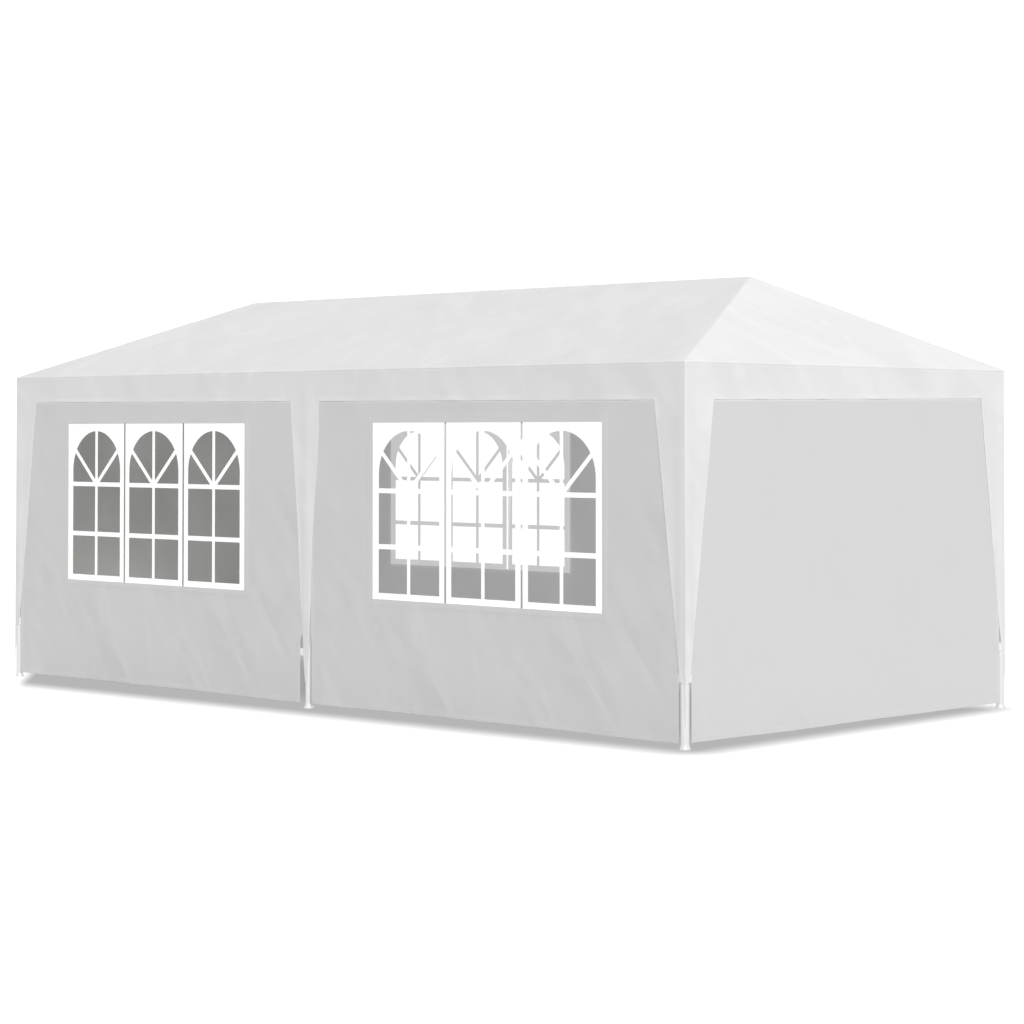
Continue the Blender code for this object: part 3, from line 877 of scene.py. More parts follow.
def cover_grid():
    """The whole cover as rows of points: roof, valance and the six leg strips."""
    grid = CoverGrid()
    columns = loop_columns()
    rows = []
    for share in roof_rows():
        narrow = (RIDGE_HALF + HIP_INSET * share) / HALF_LENGTH
        rows.append([grid.add((x * narrow, y * share, RIDGE_HEIGHT - RISE * share), 1.0,
                              -SLOPE_LENGTH[side] * (1 - share)) for x, y, side, *_ in columns])
    for drop in valance_rows():
        row = []
        for x, y, _, strip, inside in columns:
            # The valance hangs a little lower at two opposite corners
            depth = VALANCE_DEPTH - VALANCE_TWIST * x * y
            share = min(1, max(0, (drop - TWIST_FROM) / TWIST_OVER))
            lower = drop + (depth - VALANCE_DEPTH) * share
            from_edge = hypot(depth - lower, inside) if strip else depth - lower
            row.append(grid.add((x, y, EAVE_HEIGHT - lower), from_edge, lower))
        rows.append(row)
    for upper, lower in zip(rows, rows[1:]):
        grid.join(upper + upper[:1], lower + lower[:1], columns)
    first = next(number for number, column in enumerate(columns) if not column[3])
    order = [*range(first, len(columns)), *range(first)]
    edges = []
    for strip, group in groupby(order, key=lambda number: columns[number][3]):
        if strip:
            numbers = list(group)
            edges.append(add_strip(grid, [columns[number] for number in numbers],
                                   [rows[-1][number] for number in numbers]))
    return grid, columns, rows, edges


def strip_share(shape, height, side):
    """How much of its full reach a strip keeps at a height, to one side (1) or the other (2)."""
    heights = [row[0] for row in shape]
    return float(np.interp(height, heights, [row[side] for row in shape])) / shape[-1][side]


def add_strip(grid, columns, top):
    """Hang a tapered strip from its part of the valance. Gives its two edges, top to tip."""
    middle = columns[0][3].startswith("middle")
    shape = MIDDLE_STRIP if middle else CORNER_STRIP
    tip, full = shape[0][0], shape[-1][0]
    stops = [(full - row[0]) / (full - tip) for row in reversed(shape)]
    upper = top
    edges = [[top[0]], [top[-1]]]
    for level in spread(stops, STRIP_STEP / (full - tip))[1:]:
        lower = []
        for (x, y, side, _, inside), above in zip(columns, top):
            high = grid.points[above][2]
            height = high + (tip - high) * level
            second = side in SIDE_X or (middle and x >= 0)
            keep = strip_share(shape, height, 2 if second else 1)
            if side in SIDE_X:
                fold = copysign(HALF_WIDTH, y)
                y = fold - (fold - y) * keep
            else:
                fold = 0 if middle else copysign(HALF_LENGTH, x)
                x = fold - (fold - x) * keep
            lower.append(grid.add((x, y, height), min(inside * keep, height - tip + 0.001),
                                  EAVE_HEIGHT - height))
        grid.join(upper, lower, columns)
        upper = lower
        for edge, point in zip(edges, (lower[0], lower[-1])):
            edge.append(point)
    return edges


def cover_relief(points, from_eave, from_edge):
    """How far the cloth stands off its rounded faces: sag, ripples, bands and hems."""
    x, y, z = points.T
    roof = from_eave < 0
    share = np.clip((RIDGE_HEIGHT - z) / RISE, 0, 1)
    on_long = np.abs(y) / HALF_WIDTH >= share - SMALL
    along = np.abs(x) / (RIDGE_HALF + HIP_INSET * share)
    across = np.clip(np.abs(y) / np.maximum(share * HALF_WIDTH, 0.001), 0, 1)
    down = 4 * share * (1 - share)
    sag = down * np.where(on_long, LONG_SAG * 4 * along * (1 - along),
                          END_SAG * (1 - across ** 2))
    along_side = np.where(on_long, x, y)
    on_roof = np.sqrt(np.clip(down, 0, 1)) * (
        ripples(along_side, z * 3, **ROOF_RIPPLES)
        + long_creases(along_side, from_eave, **ROOF_CREASES)) - sag
    on_valance = np.clip(from_eave / VALANCE_DEPTH, 0, 1) * (
        ripples(along_side, z * 0.3, **VALANCE_RIPPLES)
        + long_creases(along_side, from_eave, **VALANCE_CREASES))
    relief = np.where(roof, on_roof, on_valance)
    relief += np.where((from_eave > EAVE_BAND[0]) & (from_eave < EAVE_BAND[1]), BAND_RISE, 0)
    relief += np.where(from_edge < HEM, COVER_HEM_RISE, 0)
    beside_leg = np.where(on_long, np.minimum(np.abs(x), np.abs(LEG_X - np.abs(x))),
                          np.abs(LEG_Y - np.abs(y)))
    lean = np.interp(beside_leg, BESIDE_LEG, VALANCE_LEAN)
    relief -= lean * np.clip((from_eave - LEAN_FROM) / LEAN_OVER, 0, 1)
    return np.where(roof, relief, np.maximum(relief, np.interp(beside_leg, BESIDE_LEG, CLOSEST)))


def make_cover(outer, inner):
    """The cover's piece, and its sewn lines."""
    grid, columns, rows, strip_edges = cover_grid()
    points, from_eave, from_edge = map(np.array, (grid.points, grid.from_eave, grid.from_edge))
    for _ in range(3):
        value, slope = cover_field(points)
        points = points - slope * (value / (slope ** 2).sum(axis=1))[:, None]
    _, slope = cover_field(points)
    outward = slope / np.linalg.norm(slope, axis=1)[:, None]
    relief = cover_relief(points, from_eave, from_edge)
    upright = np.where(from_eave > 0, np.abs(outward[:, :2]).max(axis=1), 1)
    points = points + outward * (relief / upright)[:, None]
    mesh = cloth_mesh("cover", points.tolist(), grid.faces, grid.flat_places,
                      from_edge=from_edge, from_eave=from_eave)
    bm = bmesh.new()
    bm.from_mesh(mesh)
    bm.verts.ensure_lookup_table()
    bmesh.ops.remove_doubles(bm, verts=[bm.verts[number] for number in rows[0]], dist=0.0002)
    bm.to_mesh(mesh)
    bm.free()
    cover = make_sheet("cover", mesh, outer, inner, HEM)
    raised = points + outward * STITCHES["Radius"] * 0.4
    return cover, sewn_lines(grid, columns, rows, strip_edges, raised)


def sewn_lines(grid, columns, rows, strip_edges, raised):
    """Where the cover is stitched: both edges of the eave band, and inside every hem."""
    lines = []
    for depth in EAVE_BAND:
        row = min(rows, key=lambda row: abs(grid.from_eave[row[0]] - depth))
        lines.append([tuple(raised[number]) for number in row + row[:1]])
    above_hem = zip(columns, rows[-3])
    for strip, group in groupby(above_hem, key=lambda pair: pair[0][3]):
        if not strip:
            lines.append([tuple(raised[number]) for _, number in group])
    for pair in strip_edges:
        lines += [inset_line(raised, *pair), inset_line(raised, *reversed(pair))]
    return lines


def inset_line(raised, edge, partner):
    """A line a hem's width inside a strip's edge, measured towards the strip's other edge."""
    line = []
    for here, there in zip(edge, partner):
        reach = raised[there] - raised[here]
        width = float(np.linalg.norm(reach))
        if width < 3 * HEM:
            break
        inward = reach / width
        flat = np.array((np.sign(inward[0]), 0, 0))
        if abs(raised[here][0]) > HALF_LENGTH - 0.002:
            flat = np.array((0, np.sign(inward[1]), 0))
        line.append(tuple(raised[here] + flat * HEM * 0.8))
    return line


# Walls, films and prints

def rectangle(low, high, bottom, top):
    return [(low, bottom), (high, bottom), (high, top), (low, top)]


def beyond_cover(across, up, on_end):
    """How far a place on a wall is outside the valance and the leg strips."""
    corner, middle = np.array(CORNER_STRIP).T, np.array(MIDDLE_STRIP).T
    if on_end:
        beside = HALF_WIDTH - np.abs(across) - np.interp(up, corner[0], corner[2])
    else:
        beside = HALF_LENGTH - np.abs(across) - np.interp(up, corner[0], corner[1])
        reach = np.where(across < 0, np.interp(up, middle[0], middle[1]),
                         np.interp(up, middle[0], middle[2]))
        beside = np.minimum(beside, np.abs(across) - reach)
    return np.minimum(beside, EAVE_HEIGHT - VALANCE_DEPTH - up)


def wall_relief(across, up, width, height, seed):
    """Hanging cloth: long ripples, and diagonal creases that gather in the lower half."""
    low, high = 0.05, width - 0.05
    return (ripples(across, up * 0.45, seed, **WALL_RIPPLES)
            + long_creases(across, up, seed + 1, area=(low, high, 0.05, height * 0.55),
                           **WALL_CREASES)
            + long_creases(across, up, seed + 2, area=(low, high, height * 0.4, height),
                           **UPPER_CREASES))


def wall_stops(low, high, opening):
    """A wall's rows or columns, with a pair at each hem and at each seam round its opening."""
    stops = [low, low + WALL_HEM - STEP_IN_BAND, low + WALL_HEM + STEP_IN_BAND]
    if opening:
        first, last = opening
        stops += [first - WINDOW_SEAM - STEP_IN_BAND, first - WINDOW_SEAM + STEP_IN_BAND, first,
                  last, last + WINDOW_SEAM - STEP_IN_BAND, last + WINDOW_SEAM + STEP_IN_BAND]
    stops += [high - WALL_HEM - STEP_IN_BAND, high - WALL_HEM + STEP_IN_BAND, high]
    return spread(stops, WALL_STEP)


def make_wall(name, low, high, window, to_world, mirror, outer, inner, seed, slack=1.0,
              drawn=(0, 0)):
    """A hanging sheet from low to high across, with an optional opening (low, high, bottom, top).
    to_world(across, up, out) gives a point. drawn is the edge that is drawn aside near the
    ground, and how far. Gives the piece and its sewn lines."""
    def place(across, up, out):
        near = max(0, 1 - abs(across - drawn[0]) / DRAWN_WIDTH)
        share = np.clip((DRAWN_BELOW[1] - up) / (DRAWN_BELOW[1] - DRAWN_BELOW[0]), 0, 1)
        return to_world(across + drawn[1] * near * share * share * (3 - 2 * share), up, out)

    bottom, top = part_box(name)[0].z + WALL_LIFT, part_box(name)[1].z
    runs = wall_stops(low, high, window and window[:2])
    ups = wall_stops(bottom, top, window and window[2:])
    across, up = (part.ravel() for part in np.meshgrid(runs, ups))
    local = high - across if mirror else across - low
    out = slack * wall_relief(local, up - bottom, high - low, top - bottom, seed)
    out *= np.clip((beyond_cover(across, up, window is None) - 0.005) / 0.07, 0, 1)
    from_edge = np.minimum(np.minimum(across - low, high - across),
                           np.minimum(up - bottom, top - up))
    keep = np.ones(len(across), bool)
    if window:
        aside = np.maximum(window[0] - across, across - window[1])
        above = np.maximum(window[2] - up, up - window[3])
        off = np.hypot(np.maximum(aside, 0), np.maximum(above, 0))
        out *= 0.15 + 0.85 * np.clip(off / 0.22, 0, 1)
        outside = np.maximum(aside, above)
        keep = outside > -SMALL
        from_edge = np.minimum(from_edge, np.maximum(outside, 0) + (WALL_HEM - WINDOW_SEAM))
    out += np.where(from_edge < WALL_HEM, WALL_HEM_RISE, 0)
    wave = 0.0022 * np.sin(local * 2.1 + seed) + 0.0014 * np.sin(local * 5.3 + 2 * seed)
    lifted = up + wave * np.clip(1 - (up - bottom) / 0.5, 0, 1)
    points = [place(across[n], lifted[n], out[n]) for n in np.nonzero(keep)[0]]
    columns = len(runs)
    first = (np.arange(len(ups) - 1)[:, None] * columns + np.arange(columns - 1)).ravel()
    corners = np.stack([first, first + 1, first + columns + 1, first + columns], axis=1)
    corners = corners[keep[corners].all(axis=1)]
    faces = (np.cumsum(keep) - 1)[corners].tolist()
    mesh = cloth_mesh(f"{name}_sheet", points, faces, np.stack([local, up], axis=1)[corners],
                      from_edge=from_edge[keep])
    facing = Vector(to_world(0, 0, 1)) - Vector(to_world(0, 0, 0))
    if mesh.polygons[0].normal.dot(facing) < 0:
        mesh.flip_normals()
    sheet = make_sheet(f"{name}_sheet", mesh, outer, inner, WALL_HEM)
    inset = WALL_HEM - STEP_IN_BAND
    lines = [rectangle_line(low + inset, high - inset, bottom + inset, top - inset, place)]
    if window:
        inset = WINDOW_SEAM - 2 * STEP_IN_BAND
        lines.append(rectangle_line(window[0] - inset, window[1] + inset, window[2] - inset,
                                    window[3] + inset, to_world))
    return sheet, lines


def rectangle_line(low, high, bottom, top, to_world):
    corners = rectangle(low, high, bottom, top)
    line = []
    for (across, up), (next_across, next_up) in zip(corners, corners[1:] + corners[:1]):
        pieces = ceil(hypot(next_across - across, next_up - up) / 0.1)
        for share in (number / pieces for number in range(pieces)):
            line.append(to_world(across + (next_across - across) * share,
                                 up + (next_up - up) * share, SEWN_PROUD))
    return line + line[:1]


def clipped(outline, point, normal):
    """The part of a convex outline on the side of a line that its normal points to."""
    def side(corner):
        return (corner[0] - point[0]) * normal[0] + (corner[1] - point[1]) * normal[1]

    kept = []
    for here, there in zip(outline, outline[1:] + outline[:1]):
        if side(here) >= 0:
            kept.append(here)
        if side(here) * side(there) < 0:
            share = side(here) / (side(here) - side(there))
            kept.append((here[0] + (there[0] - here[0]) * share,
                         here[1] + (there[1] - here[1]) * share))
    return kept


def half_pane():
    """The right half of one arched opening, about its own centre line."""
    half = UPRIGHT_BAR / 2
    outline = [(half, PANE_SILL), (PANE_HALF_WIDTH, PANE_SILL)]
    for step in range(ARCH_STEPS + 1):
        angle = pi / 2 * step / ARCH_STEPS
        if PANE_HALF_WIDTH * cos(angle) > half:
            outline.append((PANE_HALF_WIDTH * cos(angle),
                            ARCH_SPRING + PANE_HALF_WIDTH * sin(angle)))
    return outline + [(half, ARCH_SPRING + (PANE_HALF_WIDTH ** 2 - half ** 2) ** 0.5)]


def pane_openings(centre):
    """The clear panes between the bars of one arched window."""
    outline = half_pane()
    (low_bar, low_bar_top), (high_bar, high_bar_top) = CROSS_BARS
    root = (high_bar + high_bar_top) / 2
    spoke = (SPOKE_END[0], SPOKE_END[1] - root)
    aside = (-spoke[1] / hypot(*spoke), spoke[0] / hypot(*spoke))
    half = UPRIGHT_BAR / 2
    lower = clipped(outline, (0, low_bar), (0, -1))
    middle = clipped(clipped(outline, (0, low_bar_top), (0, 1)), (0, high_bar), (0, -1))
    head = clipped(outline, (0, high_bar_top), (0, 1))
    above = clipped(head, (aside[0] * half, root + aside[1] * half), aside)
    below = clipped(head, (-aside[0] * half, root - aside[1] * half), (-aside[0], -aside[1]))
    found = []
    for pane in (lower, middle, above, below):
        found.append([(centre + across, up) for across, up in pane])
        found.append([(centre - across, up) for across, up in reversed(pane)])
    return found


def make_windows(side, end, film_finish, print_front, print_back):
    """The clear film of a window group, and a white print for each of its windows."""
    y_sign = SIDE_Y[side]
    group = SIDE_X[end] * WINDOW_GROUP_X
    reach = GROUP_HALF + FILM_OVERLAP
    film = plate(f"window_film_{side}_{end}_sheet", [rectangle(
        group - reach, group + reach, WINDOW_BOTTOM - FILM_OVERLAP, WINDOW_TOP + FILM_OVERLAP)],
        FILM, y_sign, FILM_FACE_Y - FILM, film_finish, film_finish)
    finished(film, "window_film", f"window_film_{side}_{end}")
    last = WINDOW_COUNT - 1
    for number in range(WINDOW_COUNT):
        centre = group + WINDOW_PITCH * (number - last / 2)
        low = centre - WINDOW_PITCH / 2 + (SEPARATOR / 2 if number else -PRINT_UNDER)
        high = centre + WINDOW_PITCH / 2 - (SEPARATOR / 2 if number < last else -PRINT_UNDER)
        outlines = [rectangle(low, high, WINDOW_BOTTOM - PRINT_UNDER, WINDOW_TOP + PRINT_UNDER),
                    *pane_openings(centre)]
        printed = plate(f"window_print_{side}_{end}_{number + 1}", outlines, PRINT, y_sign,
                        FILM_FACE_Y, print_front, print_back)
        finished(printed, "window_film")


def make_walls(materials):
    """Six wall sheets, each with its film and prints where it has windows."""
    lines = []
    for side, y_sign in SIDE_Y.items():
        for end, x_sign in SIDE_X.items():
            name = f"wall_{side}_{end}"
            low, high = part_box(name)[0].x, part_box(name)[1].x
            edge, aside = MIDDLE_EDGE[end]
            low, high = (edge, high) if x_sign > 0 else (low, -edge)
            group = x_sign * WINDOW_GROUP_X
            window = (group - GROUP_HALF, group + GROUP_HALF, WINDOW_BOTTOM, WINDOW_TOP)
            sheet, sewn = make_wall(
                name, low, high, window,
                lambda across, up, out, sign=y_sign: (across, sign * (WALL_FACE_Y + out), up),
                y_sign > 0, materials["wall"], materials["wall_inside"], 5 if y_sign < 0 else 8,
                drawn=(x_sign * edge, x_sign * aside))
            finished(sheet, "wall_cloth", name)
            lines += sewn
            make_windows(side, end, materials["film"], materials["print"],
                         materials["print_inside"])
    for end, x_sign in SIDE_X.items():
        name = f"wall_{end}"
        low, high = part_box(name)[0].y - END_EDGE_OUT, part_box(name)[1].y + END_EDGE_OUT
        sheet, sewn = make_wall(
            name, low, high, None,
            lambda across, up, out, sign=x_sign: (sign * (WALL_FACE_X + out), across, up),
            x_sign < 0, materials["end_wall"], materials["end_inside"], 21 + x_sign, 0.5)
        finished(sheet, "wall_cloth", name)
        lines += sewn
    return lines


# Frame

def frame_tubes():
    """Each tube's name, its two joints, and the connectors' reach along it."""
    top = Vector((0, 0, RIDGE_AXIS_Z))
    ridge = {end: Vector((sign * RIDGE_AXIS_X, 0, RIDGE_AXIS_Z)) for end, sign in SIDE_X.items()}
    corner = {(side, end): Vector((x_sign * LEG_X, y_sign * LEG_Y, EAVE_AXIS_Z))
              for side, y_sign in SIDE_Y.items() for end, x_sign in SIDE_X.items()}
    tubes = []
    for side, y_sign in SIDE_Y.items():
        middle = Vector((0, y_sign * LEG_Y, EAVE_AXIS_Z))
        tubes.append((f"middle_rafter_{side}", middle, top, RAFTER_ARM))
        for end in SIDE_X:
            start = corner[side, end]
            tubes += [(f"eave_tube_{side}_{end}", start, middle, EAVE_ARM),
                      (f"hip_rafter_{side}_{end}", start, ridge[end], RAFTER_ARM)]
    for end in SIDE_X:
        tubes += [(f"eave_tube_{end}_end", corner["front", end], corner["back", end], EAVE_ARM),
                  (f"ridge_tube_{end}", ridge[end], top, EAVE_ARM)]
    return tubes


def make_tube(name, start, end, arm, finish):
    """A hollow tube between two connectors, with its cut ends eased."""
    direction = (end - start).normalized()
    first = start + direction * (arm + GAP)
    last = end - direction * (arm + GAP)
    length = (last - first).length
    radius, inner = TUBE_RADIUS, TUBE_RADIUS - TUBE_WALL
    profile = [(radius, TUBE_EASE), (radius, length - TUBE_EASE), (radius - TUBE_EASE, length),
               (inner, length), (inner, 0), (radius - TUBE_EASE, 0)]
    tube = turned(f"{name}_round", first, last, profile, True, finish)
    finished(tube, "tube_paint", name)


def make_leg(name, finish):
    """An upright tube with a lower sleeve, and a hollow-curved flare at its foot."""
    centre = centre_of(name)
    inner = LEG_RADIUS - TUBE_WALL
    sleeve = SLEEVE_RADIUS["middle" if "middle" in name else "corner"]
    profile = [(0, FOOT_FLOOR), (inner, FOOT_FLOOR), (inner, LEG_TOP),
               (LEG_RADIUS - TUBE_EASE, LEG_TOP), (LEG_RADIUS, LEG_TOP - TUBE_EASE),
               (LEG_RADIUS, SLEEVE_TOP + 2 * SLEEVE_STEP), (LEG_RADIUS, SLEEVE_TOP + SLEEVE_STEP),
               (sleeve, SLEEVE_TOP), (sleeve, SLEEVE_TOP - SLEEVE_STEP),
               (sleeve, FOOT_HEIGHT + SLEEVE_STEP)]
    for share in (step / FLARE_STEPS for step in range(FLARE_STEPS + 1)):
        profile.append((sleeve + (FOOT_RADIUS - sleeve) * share ** FLARE_POWER,
                        FOOT_HEIGHT - (FOOT_HEIGHT - FOOT_RIM) * share))
    profile += [(FOOT_RADIUS, FOOT_RIM * 0.55), (FOOT_RADIUS, FOOT_EASE),
                (FOOT_RADIUS - FOOT_EASE, 0), (0, 0)]
    leg = turned(f"{name}_round", Vector((centre.x, centre.y, 0)),
                 Vector((centre.x, centre.y, 1)), profile, False, finish)
    finished(leg, "tube_paint", name)


def make_frame(finish):
    for tube in frame_tubes():
        make_tube(*tube, finish)
    for side in SIDE_Y:
        for place in ("left", "middle", "right"):
            make_leg(f"leg_{side}_{place}", finish)


# Ties round the legs

def belt(centres, steps=20):
    """The plan of a band pulled tight round discs, each (x, y, radius): their convex hull."""
    rim = sorted((x + radius * cos(2 * pi * step / steps), y + radius * sin(2 * pi * step / steps))
                 for x, y, radius in centres for step in range(steps))

    def half(points):
        chain = []
        for point in points:
            while len(chain) > 1 and (
                    (chain[-1][0] - chain[-2][0]) * (point[1] - chain[-2][1])
                    - (chain[-1][1] - chain[-2][1]) * (point[0] - chain[-2][0])) <= 0:
                chain.pop()
            chain.append(point)
        return chain[:-1]

    return half(rim) + half(rim[::-1])


def make_tie(name, discs, height, finish):
    """A loop of flat webbing, standing on edge at a height."""
    outline = belt(discs)
    bm = bmesh.new()
    levels = [height - TIE_HEIGHT / 2, height, height + TIE_HEIGHT / 2]
    rings = [[bm.verts.new((x, y, level)) for x, y in outline] for level in levels]
    for lower, upper in zip(rings, rings[1:]):
        for number in range(len(outline)):
            following = (number + 1) % len(outline)
            bm.faces.new((lower[number], lower[following], upper[following], upper[number]))
    tie = link_piece(name, mesh_from(bm, name), finish)
    solid = tie.modifiers.new("webbing", "SOLIDIFY")
    solid.thickness = TIE_THICKNESS
    solid.offset = 1
    make_real(tie)
    finished(tie, "wall_cloth")


def make_ties(finish):
    """Webbing loops that hold the walls' edges to the legs."""
    wall_x, wall_y = WALL_FACE_X - HEM_CLOTH - TIE_EDGE, WALL_FACE_Y - HEM_CLOTH - TIE_EDGE
    for side, y_sign in SIDE_Y.items():
        for number, level in enumerate(MIDDLE_TIE_LEVELS):
            reach, aside = MIDDLE_EDGE["left"]
            if level < DRAWN_BELOW[0]:
                reach += aside
            discs = [(0, y_sign * LEG_Y, LEG_RADIUS + GAP),
                     (-reach - TIE_INSIDE, y_sign * wall_y, TIE_EDGE)]
            make_tie(f"tie_{side}_middle_{number + 1}", discs, level, finish)
        for end, x_sign in SIDE_X.items():
            long_edge = abs(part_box(f"wall_{side}_{end}")[1 if x_sign > 0 else 0].x)
            end_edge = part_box(f"wall_{end}")[1].y + END_EDGE_OUT
            discs = [(x_sign * LEG_X, y_sign * LEG_Y, LEG_RADIUS + GAP),
                     (x_sign * (long_edge - TIE_INSIDE), y_sign * wall_y, TIE_EDGE),
                     (x_sign * wall_x, y_sign * (end_edge - TIE_INSIDE), TIE_EDGE)]
            for number, level in enumerate(TIE_LEVELS):
                make_tie(f"tie_{side}_{end}_{number + 1}", discs, level, finish)


# What repeats: stitches, screws and eave loops

def repeat_tree(name, sizes, shape, spacing=None):
    """A node tree that puts a small shape on each point of a guide, turned to the point's aim,
    or along the guide's lines at the spacing that is named. sizes are its inputs."""
    tree = bpy.data.node_groups.new(name, "GeometryNodeTree")
    new_socket = tree.interface.new_socket
    new_socket("Geometry", in_out="INPUT", socket_type="NodeSocketGeometry")
    for label in sizes:
        new_socket(label, in_out="INPUT", socket_type="NodeSocketFloat")
    new_socket("Material", in_out="INPUT", socket_type="NodeSocketMaterial")
    new_socket("Geometry", in_out="OUTPUT", socket_type="NodeSocketGeometry")
    given = tree.nodes.new("NodeGroupInput").outputs
    if spacing:
        line = add_node(tree, "GeometryNodeMeshToCurve", {"Mesh": given["Geometry"]})
        points = add_node(tree, "GeometryNodeResampleCurve", {
            "Curve": line.outputs[0], "Length": given[spacing]}, mode="LENGTH").outputs[0]
        aim = add_node(tree, "GeometryNodeInputTangent")
    else:
        points = given["Geometry"]
        aim = add_node(tree, "GeometryNodeInputNamedAttribute", {"Name": "aim"},
                       data_type="FLOAT_VECTOR")
    heading = add_node(tree, "FunctionNodeAlignRotationToVector", {"Vector": aim.outputs[0]},
                       axis="Z")
    placed = add_node(tree, "GeometryNodeInstanceOnPoints", {
        "Points": points, "Instance": shape(tree, given), "Rotation": heading.outputs[0]})
    real = add_node(tree, "GeometryNodeRealizeInstances", {0: placed.outputs[0]})
    painted = add_node(tree, "GeometryNodeSetMaterial", {
        "Geometry": real.outputs[0], "Material": given["Material"]})
    add_node(tree, "NodeGroupOutput", {"Geometry": painted.outputs[0]})
    return tree


def stitch(tree, given):
    """A short length of thread."""
    return add_node(tree, "GeometryNodeMeshCylinder", {
        "Vertices": 5, "Radius": given["Radius"], "Depth": given["Length"]}).outputs["Mesh"]


def screw_head(tree, given):
    """A domed screw head."""
    return add_node(tree, "GeometryNodeMeshCone", {
        "Vertices": 16, "Radius Bottom": given["Radius"],
        "Radius Top": times(given["Radius"], 0.62), "Depth": given["Height"]}).outputs["Mesh"]


def webbing_ring(tree, given):
    """A flat band round a tube."""
    ring = add_node(tree, "GeometryNodeCurvePrimitiveCircle", {
        "Resolution": 28, "Radius": given["Radius"]})
    section = add_node(tree, "GeometryNodeCurvePrimitiveQuadrilateral", {
        "Width": given["Thickness"], "Height": given["Width"]})
    return add_node(tree, "GeometryNodeCurveToMesh", {
        "Curve": ring.outputs[0], "Profile Curve": section.outputs[0]}).outputs[0]


def grow(name, guide, tree, values, sharp_angle, slot):
    """Run a node tree on a guide mesh, and keep what it makes as a plain mesh."""
    piece = link_object(name, guide)
    modifier = piece.modifiers.new("grow", "NODES")
    modifier.node_group = tree
    for item in tree.interface.items_tree:
        if item.in_out == "INPUT" and item.name in values:
            modifier[item.identifier] = values[item.name]
    make_real(piece, sharp_angle)
    finished(piece, slot)


def guide_lines(name, lines):
    points, edges = [], []
    for line in lines:
        first = len(points)
        points += line
        edges += [(first + number, first + number + 1) for number in range(len(line) - 1)]
    mesh = bpy.data.meshes.new(name)
    mesh.from_pydata(points, edges, [])
    return mesh


def make_stitches(cover_lines, wall_lines, materials):
    tree = repeat_tree("stitch_rows", STITCHES, stitch, "Pitch")
    for part, lines in (("cover", cover_lines), ("wall", wall_lines)):
        guide = guide_lines(f"{part}_stitches_guide", [line for line in lines if len(line) > 1])
        grow(f"{part}_stitches", guide, tree,
             {**STITCHES, "Material": materials[f"{part}_thread"]}, 50, f"{part}_cloth")


def make_eave_loops(webbing):
    """Webbing loops that carry the walls on the eave tubes."""
    lines = [[(x_sign * x, y_sign * LEG_Y, EAVE_AXIS_Z) for x in (LOOP_INSET, LEG_X - LOOP_INSET)]
             for y_sign in SIDE_Y.values() for x_sign in SIDE_X.values()]
    lines += [[(x_sign * LEG_X, y, EAVE_AXIS_Z) for y in (LOOP_INSET - LEG_Y, LEG_Y - LOOP_INSET)]
              for x_sign in SIDE_X.values()]
    grow("eave_loops", guide_lines("eave_loops_guide", lines),
         repeat_tree("eave_loops", LOOPS, webbing_ring, "Spacing"),
         {**LOOPS, "Material": webbing}, 40, "wall_cloth")


def make_screws(zinc):
    """One screw through each connector arm, on its underside, where the tube is held."""
    points, aims = [], []
    for _, start, end, arm in frame_tubes():
        for joint, target in ((start, end), (end, start)):
            direction = (target - joint).normalized()
            down = Vector((0, 0, -1)) + direction * direction.z
            down.normalize()
            points.append(joint + direction * (arm + SCREW_PAST_ARM)
                          + down * (TUBE_RADIUS + SCREW_PROUD))
            aims.append(down)
    guide = bpy.data.meshes.new("screws_guide")
    guide.from_pydata(points, [], [])
    aim = guide.attributes.new("aim", "FLOAT_VECTOR", "POINT")
    aim.data.foreach_set("vector", np.array(aims, np.float32).ravel())
    grow("connector_screws", guide, repeat_tree("screw_heads", SCREWS, screw_head),
         {**SCREWS, "Material": zinc}, 30, "tube_paint")


def dress_connectors(plastic):
    """The connectors keep their solids, with moulded plastic in place of the plain finish."""
    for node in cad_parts:
        if "connector" in node:
            solid = bpy.data.objects[node]
            solid.data.materials.clear()
            solid.data.materials.append(plastic)


# Studio: floor, light and camera

def seen_and_cast(tree, kind, output, seen, cast):
    """Two colours in one surface: the camera sees the first, and the second lights the tent."""
    bright = add_node(tree, kind, {"Color": rgba(seen), "Strength": BACKDROP})
    soft = add_node(tree, kind, {"Color": rgba(cast), "Strength": AMBIENT})
    path = add_node(tree, "ShaderNodeLightPath")
    mix = add_node(tree, "ShaderNodeMixShader", {
        0: path.outputs["Is Camera Ray"], 1: soft.outputs[0], 2: bright.outputs[0]})
    add_node(tree, output, {"Surface": mix.outputs[0]})


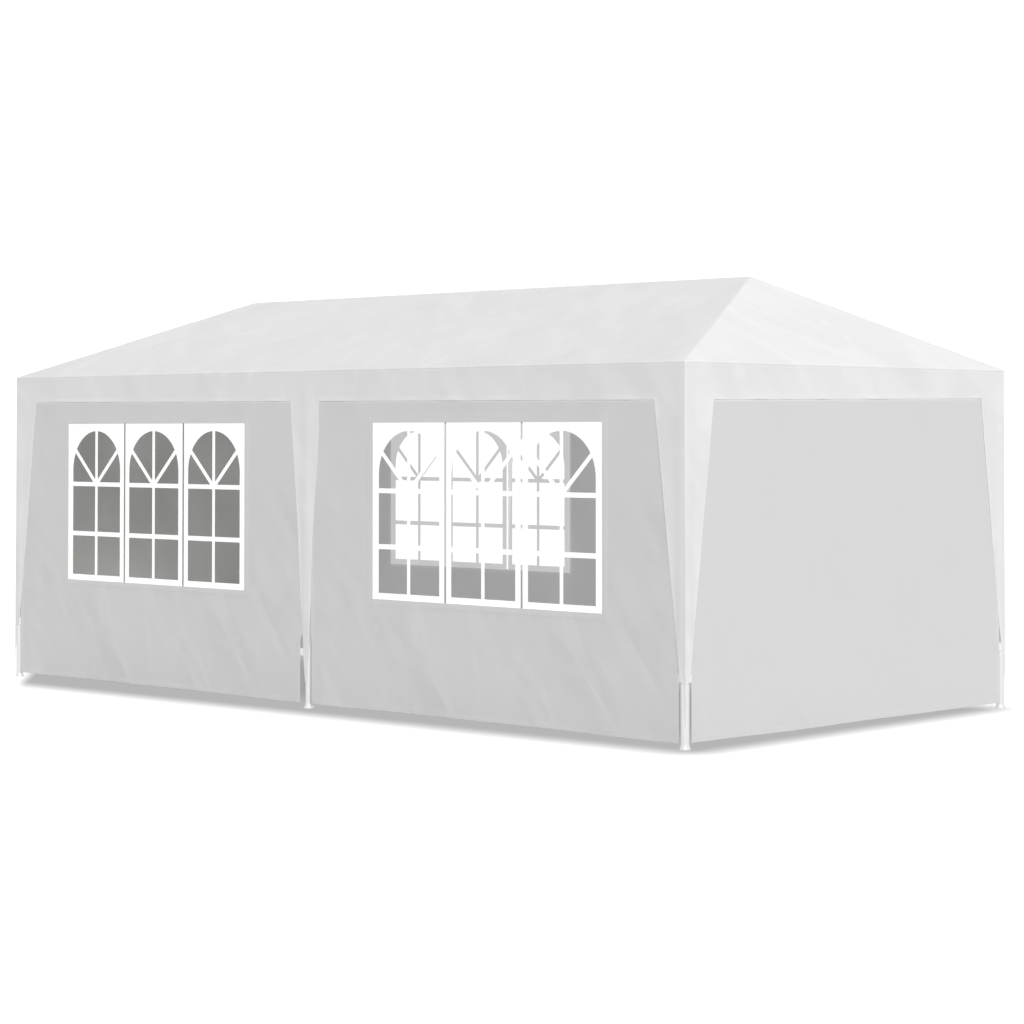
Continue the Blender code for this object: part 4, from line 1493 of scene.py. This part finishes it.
def make_floor():
    """A white floor with the tent's shadow painted on it: dark below the tent and in a soft rim
    along its walls.
    """
    bm = bmesh.new()
    bmesh.ops.create_grid(bm, x_segments=1, y_segments=1, size=FLOOR_HALF)
    made = bpy.data.materials.new("studio_floor_white")
    made.use_nodes = True
    tree = made.node_tree
    tree.nodes.clear()
    place = xyz(object_place(tree))
    total = 0.0
    for along_x, along_y, constant in SHADE_EDGES:
        past = plus(plus(times(place["X"], along_x), constant), times(place["Y"], along_y))
        past = maths("MAXIMUM", past, 0.0)
        total = plus(times(past, past), total)
    lit = ramp_between(maths("SQRT", total), 0.0, 1.0)
    inside = maths("MINIMUM", minus(HALF_WIDTH, maths("ABSOLUTE", place["Y"])),
                   minus(HALF_LENGTH, maths("ABSOLUTE", place["X"])))
    seen = mix_colour(ramp_between(inside, 0.1, 0.75), *SHADE_DEEP)
    cast = mix_colour(ramp_between(inside, -0.06, 0.10), *SHADE_CAST)
    seen_and_cast(tree, "ShaderNodeEmission", "ShaderNodeOutputMaterial",
                  mix_colour(lit, seen, 1.0), mix_colour(lit, cast, 1.0))
    link_piece("studio_floor", mesh_from(bm, "studio_floor"), made)


def make_light():
    """Even white surroundings, a broad soft light from the right, and a fill on the far sides."""
    scene = bpy.context.scene
    scene.world = bpy.data.worlds.new("studio")
    scene.world.use_nodes = True
    tree = scene.world.node_tree
    tree.nodes.clear()
    seen_and_cast(tree, "ShaderNodeBackground", "ShaderNodeOutputWorld", 1.0, 1.0)
    for name, (origin, energy, spread_angle) in LIGHTS.items():
        sun = bpy.data.lights.new(name, "SUN")
        sun.energy = energy
        sun.angle = radians(spread_angle)
        lamp = link_object(name, sun)
        lamp.rotation_euler = Vector(origin).to_track_quat("Z", "Y").to_euler()
    scene.view_settings.view_transform = "Standard"


def make_camera():
    camera = bpy.data.cameras.new("photo_view")
    camera.sensor_width = 36
    camera.lens = CAMERA_LENS
    camera.shift_y = CAMERA_SHIFT
    camera.clip_end = 300
    holder = link_object("photo_view", camera)
    holder.location = CAMERA_PLACE
    holder.rotation_euler = [radians(angle) for angle in CAMERA_TURN]
    bpy.context.scene.camera = holder


def main():
    make_camera()
    make_light()
    make_floor()
    materials = make_materials()
    cover, cover_lines = make_cover(materials["cover"], materials["cover_inside"])
    cover_nodes = [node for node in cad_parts
                   if node.startswith(("roof_", "valance_", "corner_strip_", "middle_strip_"))]
    finished(cover, "cover_cloth", *cover_nodes)
    wall_lines = make_walls(materials)
    make_frame(materials["tube"])
    make_ties(materials["webbing"])
    make_stitches(cover_lines, wall_lines, materials)
    make_eave_loops(materials["webbing"])
    make_screws(materials["zinc"])
    dress_connectors(materials["plastic"])


main()
